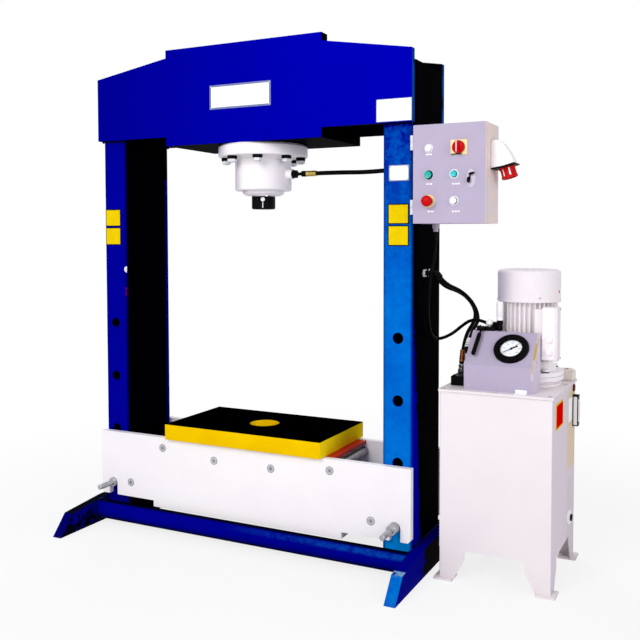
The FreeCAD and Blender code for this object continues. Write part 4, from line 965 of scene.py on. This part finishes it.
# main switch: cream plate, dark sill, red skirt with a grip and its white line
finished(slab("switchPlate", (839.5, -173.6, 1482.5), (898.5, -169.8, 1533.5), 1.2, 2), "creamPlastic", "door")
finished(slab("switchSill", (841, -174.4, 1483.1), (880.5, -173.2, 1486.5), 0.4, 1), "blackPlastic", "door")
skirt = lathe("switchHandle", [(0, -11), (3.9, -11), (3.9, 3.4), (21, 3.4), (22, 4.6), (22, 9), (20.6, 13),
                               (18, 14.4), (0, 14.4)], 48)
grip = pulled("switchGrip", [(-5.5, -21), (5.5, -21), (5.5, 21), (-5.5, 21)], "Z", 13, 28, 2.0)
onDoor(joined("switchHandle", [skirt, grip]), "switch", "redPlastic", "switch", node="main_switch")
line = pulled("switchLine", [(-1.4, -17), (1.4, -17), (1.4, 20), (-1.4, 20)], "Z", 27.6, 28.5, 0.3)
onDoor(line, "switchLine", "labelWhite", "switch")

# small bare legend strips below the devices: middle, height, how many
legends = {"lampLegend": (762, 1488, 2), "greenLegend": (764, 1387, 2), "tealLegend": (859, 1385, 3),
           "emergencyLegend": (769, 1293, 2), "whiteLegend": (859, 1292, 3)}
for name, (x, z, count) in legends.items():
    wide = 9.5 if count == 2 else 7.6
    lefts = [x + 1.2 + (i - count / 2) * (wide + 2.5) for i in range(count)]
    strips = [slab(name, (left, doorFace - 0.8, z - 2.6), (left + wide, doorFace + 0.3, z + 2.6), 0.4, 1)
              for left in lefts]
    finished(joined(name, strips), "labelWhite", "door")

# quarter-turn lock on its oval plate, with its cam inside
oval = grown("lockPlate", [(15.5, -0.3), (16, 0.3), (16, 1.0), (15, 1.5)], 40)
oval.scale = (1, 1.9, 1)
onDoor(oval, "lock", "boxPlate")
barrel = lathe("lockBarrel", [(0, -13), (8.9, -13), (8.9, 0.5), (11, 0.5), (11, 3.4), (10, 4.2), (0, 4.2)], 36)
cam = slab("lockCam", (-8, -8, -16), (34, 8, -13), 0.8, 1)
onDoor(joined("lockBarrel", [barrel, cam]), "lock", "boxPlate", "lock", slot="black_steel", node="door_lock")
wing = [pulled("lockWing", [(-10, -16), (-2, -15), (0.5, -3), (-1, 4), (-8, 4), (-11, -4)], "Z", 3.8, 14, 1.6),
        pulled("lockBar", [(-4, 10), (14, 14), (14, 20), (4, 19), (-5, 15)], "Z", 3.8, 14, 1.2),
        pulled("lockNeck", [(-4, 2), (0, 2), (1, 12), (-3, 12)], "Z", 3.6, 9, 0.6)]
onDoor(joined("lockWing", wing), "lock", "blackPlastic", "lock", slot="black_steel", node="door_lock")

# hinge barrels, the lower halves fixed and the upper halves on the door
for z, word in ((1283, "Lower"), (1505, "Upper")):
    for low, high, tag, body in ((0, 24.8, "fixed", "frame"), (25.2, 51, "door", "door")):
        barrel = lathe(tag + "Hinge" + word, [(0, low), (5.4, low), (5.9, low + 0.8), (5.9, high - 0.8), (5.0, high),
                                              (0, high)], 24)
        put(barrel, "palePlastic", (698, -165, z), body=body, slot="grey_paint")

# the cable gland below the case, and the screws in the case's back
gland = {"place": (746, -50, 1224)}
dome = lathe("glandDome", [(0, 0), (7.2, 0), (8.6, 3), (9.0, 8), (9.0, 16), (0, 16)], 28)
put(joined("cableGland", [hexNut("glandNut", 23, 16, 27.5), dome]), "glandGrey", **gland)
sleeve = [(6.0, -34), (6.5, -34), (6.8, -26), (7.1, -14), (7.4, 0.5), (6.0, 0.5), (6.0, -34)]
put(lathe("glandSleeve", sleeve, 24), "blackPlastic", **gland)
screwRow("boxCornerScrews", [(x, -12.5, z) for x in (722, 943) for z in (1272, 1570)], (0, 1, 0), 5, 3)

# power inlet: white hood, dark slanted joint, red shroud with a flange, white stripes on the shroud as painted
# highlights, and contact pins
inlet = {"place": (1004, -63, 1452), "aim": (24, 0, -83)}
axis = Vector(inlet["aim"])
hood = pulled("inletHood", [(962, 1438), (962, 1529), (974, 1534), (988, 1532), (1004, 1519), (1021, 1496),
                            (1034, 1473), (1042, 1455), (1002, 1444)], "Y", -113, -13, 0)
editing(hood)                            # its far end is drawn in, so it rounds off towards the back
pickFaces(hood, (0, 1, 0))
bpy.ops.transform.translate(value=(0, -0.045, 0))
for step, foot, narrower, lower in ((28, 1445, 0.72, 0.76), (13, 1450, 0.6, 0.7)):
    extrude(0, step, 0)
    bpy.ops.transform.resize(value=(narrower, 1, lower), center_override=at(962, 0, foot))
clearSelection()
finished(soften(hood, 3), "whitePlastic", node="power_inlet")
joint = [(964, 1434), (964, 1438.5), (1002, 1444.5), (1043.5, 1455.5), (1045, 1451), (1003, 1440)]
finished(pulled("inletJoint", joint, "Y", -114, -40, 1), "blackPlastic")
shroud = [(23.5, 6), (28, 6), (30, 9), (30, 13), (26.5, 16), (25.5, 24), (25.5, 34), (26.5, 38), (28, 41), (28, 46),
          (27, 47.5), (24.5, 47.5), (23.5, 46), (23.5, 6)]
shroud = stand(lathe("inletShroud", shroud, 48), **inlet)
rib = stand(slab("rib", (24.8, -0.9, 17), (26.6, 0.9, 40), 0.4, 1), **inlet)
finished(joined("inletShroud", [shroud, ringOf(rib, inlet["place"], 12, axis)]), "redPlastic")
# painted highlights: white stripes on the red shroud
highlightStripes = [stand(slab("inletStripe", (-wide, -27.4, 13), (wide, -25.0, 42), 0.6, 1), **inlet, spin=spin)
           for spin, wide in ((-22, 2.6), (26, 1.8))]
finished(joined("inletStripe", highlightStripes), "labelWhite")
put(lathe("inletFloor", [(0, 5), (23.6, 5), (23.6, 8), (0, 8)], 32), "blackPlastic", **inlet)
contact = stand(lathe("inletPins", [(0, 5), (2.6, 5), (2.6, 36), (1.6, 38), (0, 38)], 16), **inlet)
contact.location.y += 0.013
finished(ringOf(contact, inlet["place"], 5, axis), "brass")
print("control box dressed")


# gauge: white dial, ticks and plain numbers, three screws in the bezel
def numeral(number, x, y, size=8.5):
    clearSelection()
    bpy.ops.object.text_add(location=(0, 0, 0))
    text = bpy.context.object.data
    text.body = str(number)
    text.size = size / 1000
    text.align_x = "CENTER"
    text.align_y = "CENTER"
    text.extrude = 0.00012
    bpy.ops.object.convert(target="MESH")
    piece = bpy.context.object
    editing(piece)
    bpy.ops.transform.translate(value=(x / 1000, y / 1000, 0.0025))
    clearSelection()
    return stand(piece)


gauge = {"place": (1022, -46, 816), "aim": (0, -1, 1)}
scale = {"sweep": 246, "ticks": 31, "numbers": (0, 5, 10, 15, 20, 25, 30), "ring": 25, "needle": 123}
bezel = {"radius": 50, "turns": (30, 150, 270), "height": 14}
put(lathe("gaugeDial", [(0, 1.7), (37.6, 1.7), (37.6, 2.5), (36.6, 2.5), (36.4, 2.3), (0, 2.3)], 64), "dialWhite",
    **gauge)
marks = [slab("gaugeMarks", (-3, -20, 2.2), (3, -18.6, 2.6), 0.1, 1)]
for i in range(scale["ticks"]):
    half, inner = (0.4, 33) if i % 5 else (0.8, 30.5)
    tick = slab("tick", (-half, inner, 2.2), (half, 36, 2.6), 0.08, 1)
    turn = scale["sweep"] * (0.5 - i / (scale["ticks"] - 1))
    marks.append(copied(tick, "tick" + str(i), turn, "Z", (0, 0, 0)))
    bpy.data.objects.remove(tick)
for i, number in enumerate(scale["numbers"]):
    turn = math.radians(scale["sweep"] * (0.5 - i / 6) + 90)
    marks.append(numeral(number, scale["ring"] * math.cos(turn), scale["ring"] * math.sin(turn)))
put(joined("gaugeMarks", marks), "labelGrey", **gauge, slot="black_plastic")
tail = pulled("needleTail", [(-3.2, -24), (3.2, -24), (2.4, 0), (-2.4, 0)], "Z", 4.2, 5.2, 0.2)
hub = lathe("needleHub", [(0, 3.2), (4.2, 3.2), (4.2, 5.4), (3.4, 6.6), (0, 6.9)], 28)
pointer = pulled("needlePointer", [(-2.2, 0), (2.2, 0), (1.0, 33), (-1.0, 33)], "Z", 4.3, 5.1, 0.2)
needle = {"spin": scale["needle"], "body": "needle", "slot": "black_steel", "node": "gauge_needle"}
put(joined("needleTail", [tail, hub]), "blackPlastic", **gauge, **needle)
put(pointer, "labelGrey", **gauge, **needle)
screwRow("gaugeScrews", ringPlaces(**gauge, **bezel), gauge["aim"], 3.2, 1.8, "blackSteel")

# console: its foot tab on the lid, screws along its foot and on its shelf
tab = [(-124, 674), (-124, 676.5), (-104, 677), (-103, 687), (-99.5, 687), (-99.5, 674)]
finished(pulled("consoleTab", tab, "X", 1050, 1090, 0.8), "labelWhite", slot="white_paint")
screwRow("consoleScrews", [(885, -100, 690), (1000, -100, 690)], (0, -1, 0), 3.6, 1.6, "boxPlate")
screwRow("valveScrews", [(x, y, 884) for x in (887, 937) for y in (16, 38)], (0, 0, 1), 3.6, 3, "blackSteel")
put(lathe("cableBoot", [(0, -13), (6.6, -13), (7.2, -10), (8.9, 4), (9.6, 5), (9.6, 12), (0, 12)], 28),
    "blackPlastic", (916, 58, 889), (33, 5, -15))
knob = lathe("reliefBall", [(0, -12.6), (4, -12.3), (4.6, -11.6), (7.5, -9.9), (10.6, -6.4), (12.2, -2.5),
                            (12.5, 0.6), (11.8, 4.0), (10, 7.4), (7.2, 10.1), (3.6, 11.9), (0, 12.4)], 40)
stem = lathe("reliefStem", [(0, -22), (3.9, -22), (3.9, -12), (0, -12)], 20)
put(joined("reliefBall", [knob, stem]), "whitePlastic", (923, 30, 897.5), body="relief", node="relief_knob")
tower = {"place": (961, 28, 870), "node": "pressure_switch"}
put(lathe("switchFoot", [(0, 0), (9, 0), (9, 4), (10.4, 5), (10.4, 17), (9.2, 19), (9.2, 22), (11, 23), (11, 38),
                         (0, 38)], 36), "blackPlastic", **tower)
put(lathe("switchTower", [(0, 38), (11.4, 38), (12.3, 39.5), (12.3, 46), (11.7, 47), (11.7, 49), (12.3, 50),
                          (12.3, 98), (12.5, 99), (12.5, 102), (10.5, 104.6), (0, 105)], 40), "whitePlastic", **tower)
print("console dressed")


# lines: crimped ferrules where both hoses end above the manifold, adapters and screws on it
ends = {"lowerFerrule": ("warmBrass", (816, 50, 768), (-4, -12, -73)),
        "upperFerrule": ("nutWhite", (856, -8, 822), (1, -46, -41))}
for name, end in ends.items():
    sleeve = [(0, -24), (7.8, -24), (9.6, -22)] + ridges(8, (9.9, -20), (9.9, -15), (9.1, -13.8))
    put(lathe(name, sleeve + [(9.6, 12), (9.6, 20), (0, 20)], 28), *end)
for tag, (x, y, high) in {"lower": (814.8, 46.4, 740), "upper": (856.4, -24.4, 790)}.items():
    neck = lathe("neck", [(0, 706), (7.2, 706), (7.2, 724), (8.4, 724.5), (8.4, high), (0, high)], 24)
    nuts = [hexNut("nut", 24, 708, 721), hexNut("nut", 20, 726, 737)]
    put(joined(tag + "Adapter", nuts + [neck]), "platedSteel", (x, y, 0))
screwRow("manifoldScrews", [(x, y, 708) for x in (812, 859) for y in (-30, 70)], (0, 0, 1), 5, 4, "blackSteel")

# return filter: rounded housing, its cover and four screws
filterPlace = (1156, 256, 0)
case = slab("filterCase", (-28, -28, 674), (28, 28, 708), 5, 3)
cover = lathe("filterCover", [(0, 707), (25, 707), (25, 712.5), (23.5, 715), (9, 715), (8, 713.6), (0, 713.6)], 48)
put(joined("filterCase", [case, cover]), "filterBeige", filterPlace, node="return_filter")
screwRow("filterScrews", [(x, y, 708) for x in (1134.5, 1177.5) for y in (234.5, 277.5)], (0, 0, 1), 3.4, 2.6)
put(lathe("filterPlug", [(0, 713), (7, 713), (7, 714.6), (6, 715.2), (0, 715.4)], 24), "blackPlastic", filterPlace)

# level gauge: a white housing between thin dark plates, the glass, a screw at each end
level = {"node": "level_gauge"}
finished(slab("levelHousing", (1183, 236, 509), (1199, 268, 617), 3.5, 3), "whitePlastic", **level)
rims = [slab("levelRims", (1180.6, 234.8, 506), (1183.4, 269.2, 621), 1.2, 2),
        slab("levelRim", (1199, 235, 506), (1201.4, 269, 621), 1.0, 2),
        slab("levelTop", (1183, 236.5, 613), (1199.5, 267.5, 621), 2.5, 2),
        slab("levelFoot", (1183, 236.5, 506), (1199.5, 267.5, 511), 2, 2)]
finished(joined("levelRims", rims), "blackPlastic", **level)
finished(slab("levelGlass", (1197, 240, 521), (1203.6, 264, 606), 3, 4), "whitePlastic", **level)
screwRow("levelScrews", [(1201.2, 252, 513.5), (1201.2, 252, 613.5)], (1, 0, 0), 4, 2)
finished(slab("levelFloat", (1203.2, 250.6, 530), (1204, 253.4, 596), 0.3, 1), "redPlastic")

# drain: white collar, dark plug
drain = {"place": (1181, 170, 185), "aim": (1, 0, 0), "node": "drain_plug"}
put(lathe("drainCollar", [(9, -3), (26, -3), (26, 4), (24, 8), (14, 9), (9, 9), (9, -3)], 40), "whitePlastic",
    **drain, slot="white_paint")
put(hexNut("drainHead", 22, 8.5, 15), "blackSteel", **drain)

# tank: bare plates and a sight plug on its right side, weld lines, screws and filler flange on its lid
sidePlates = {"tankPlate": ((1180.6, -70, 551), (1182.4, 53, 640), 5, "labelYellow", "labelOrange"),
              "tankTag": ((1180.6, 158, 533), (1182.4, 222, 619), 2, "labelWhite", "labelWhite")}
for name, plate in sidePlates.items():
    sheetPlate(name, *plate, (1, 0, 0), 0.4)
put(lathe("sightPlug", [(0, -2), (14, -2), (14, 3), (12, 6), (7, 6), (6, 4.6), (0, 4.6)], 32), "darkRed",
    (1181, 250, 647), (1, 0, 0))
for name, y in {"tankSeamFront": -123, "tankSeamRear": 288}.items():
    bead(name, (792, y, 114), (792, y, 662), "whiteBead", 2.2, 0.2)
lidScrews = [(800, -118), (800, 283), (985, -118), (985, 283), (1172, -118), (796, 140), (1175, 140)]
screwRow("lidScrews", [(x, y, 674) for x, y in lidScrews], (0, 0, 1), 6, 4)
filler = {"place": (838, 228, 0), "turns": [math.degrees(a) for a in (0.5, 2.07, 3.64, 5.21)]}
put(lathe("fillerFlange", [(34.5, 673), (47, 673), (47, 676.5), (45.5, 678), (37, 678), (36, 680), (34.5, 680),
                           (34.5, 673)], 48), "platedSteel", filler["place"])
screwRow("fillerScrews", ringPlaces(**filler, aim=(0, 0, 1), radius=41, height=678), (0, 0, 1), 3, 2)
print("tank dressed")


# motor: terminal box lid with screws, two plugs in its front, cowl screws and rim, black washers under the flange
# bolts as painted shade, a sealing seam
motor = {"place": (1041, 130, 0)}
bolts = {"aim": (0, 0, 1), "radius": 110, "turns": (45, 135, 225, 315)}


def blankPlug(name):
    return joined(name, [hexNut(name, 24, 0, 7), lathe("plugCap", [(0, 6), (9, 6), (8.4, 9), (0, 9.6)], 24)])


def onCowl(piece, turn, reach, height):
    spot = ringPlaces(motor["place"], (0, 0, 1), reach, [turn], height)[0]
    return stand(piece, spot, (math.cos(math.radians(turn)), math.sin(math.radians(turn)), 0))


finished(slab("terminalLid", (1158, 8.5, 774.5), (1167.5, 65.5, 961.5), 3, 2), "cowlWhite")
screwRow("terminalScrews", [(1167.2, y, z) for y in (15, 59) for z in (782, 954)], (1, 0, 0), 4, 2.6)
finished(spread("terminalPlugs", [(1139, 10, z) for z in (806, 850)], (0, -1, 0), blankPlug), "motorWhite")
cowlScrews = [onCowl(socketScrew("cowlScrew", 4.6, 3), turn, 111.6, 991) for turn in (-58, 32, 122, 212)]
finished(joined("cowlScrews", cowlScrews), "platedSteel")
dot = lathe("cowlDot", [(0, -0.6), (5, -0.6), (5, 0.6), (4.2, 1.1), (0, 1.2)], 20)
finished(onCowl(dot, -8, 111.8, 1011), "redPlastic")
# black rings under the flange bolts: washers, black as painted shade under the bolt heads
shadeWasher = [(7, 726.6), (13.4, 726.6), (13.4, 730), (12.6, 730.8), (7, 730.8), (7, 726.6)]
finished(spread("motorWashers", ringPlaces(**motor, **bolts), (0, 0, 1), lathe, shadeWasher, 28), "blackPlastic")
put(lathe("bellSeam", [(124, 710.3), (125.6, 710.3), (125.6, 711.7), (124, 711.7), (124, 710.3)], 96), "glandGrey",
    **motor)
put(lathe("cowlRim", [(110.6, 974.2), (113, 974.2), (113.4, 976), (113.4, 980), (112.2, 982), (110.6, 981),
                      (110.6, 974.2)], 96), "cowlWhite", **motor)
print("motor dressed")


# studio: pale floor, soft lamps, white behind
studio = {
    "floorColour": (0.84, 0.84, 0.85), "floorSize": 30, "nearWhite": 0.80, "whiteFrom": 1.3, "whiteBy": 2.6,
    "skyColour": (0.94, 0.95, 1.0), "skyStrength": 0.54,
    "lamps": {      # place, aim, size, power
        "keyLamp": ((-0.6, -4.6, 3.2), (0.1, 0, 0.95), 2.4, 132),
        "fillLamp": ((4.4, -2.2, 2.4), (0.5, 0, 0.8), 2.2, 56),
        "backLamp": ((-2.5, 3.6, 3.4), (0, 0, 1.0), 2.4, 70),
    },
}


def lookedAt(shader):                    # 1 for rays that the camera sees, straight or by a mirror or glass
    rays = shader.node("ShaderNodeLightPath", {}, {}, "Is Camera Ray")
    return rays.most(rays.other("Is Glossy Ray")).most(rays.other("Is Transmission Ray"))


clearSelection()
bpy.ops.mesh.primitive_plane_add(size=studio["floorSize"], location=(0, 0, 0))
floor = bpy.context.object
floor.name = "studioFloor"
shader = Shader("studioFloor")
away = shader.ramp(shader.node("ShaderNodeVectorMath", {"operation": "LENGTH"}, {0: shader.place}, 1),
                   studio["whiteFrom"], studio["whiteBy"])
shader.set(Base_Color=studio["floorColour"], Roughness=0.9)
glow = shader.node("ShaderNodeEmission", {}, {"Color": (1, 1, 1), "Strength": 1.0})
share = lookedAt(shader) * (away * (1 - studio["nearWhite"]) + studio["nearWhite"])
blend = shader.node("ShaderNodeMixShader", {}, {0: share, 1: Link(shader, shader.surface.outputs[0]), 2: glow})
shader.feed(shader.tree.nodes["Material Output"].inputs["Surface"], blend)
floor.data.materials.append(shader.material)
floor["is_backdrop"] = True

world = bpy.data.worlds.new("studioWorld")
bpy.context.scene.world = world
shader = Shader("studioWorld", world)
sky = shader.tree.nodes["Background"]
sky.inputs["Color"].default_value = (*studio["skyColour"], 1)
sky.inputs["Strength"].default_value = studio["skyStrength"]
white = shader.node("ShaderNodeBackground", {}, {"Color": (1, 1, 1), "Strength": 1.0})
blend = shader.node("ShaderNodeMixShader", {}, {0: lookedAt(shader), 1: Link(shader, sky.outputs[0]), 2: white})
shader.feed(shader.tree.nodes["World Output"].inputs["Surface"], blend)

for name, (place, aim, size, power) in studio["lamps"].items():
    lamp = bpy.data.lights.new(name, "AREA")
    lamp.shape = "SQUARE"
    lamp.size = size
    lamp.energy = power
    light = bpy.data.objects.new(name, lamp)
    bpy.context.scene.collection.objects.link(light)
    light.location = place
    light.rotation_euler = (Vector(aim) - Vector(place)).to_track_quat("-Z", "Y").to_euler()
bpy.context.scene.view_settings.view_transform = "Standard"
print("studio set")

low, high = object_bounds()
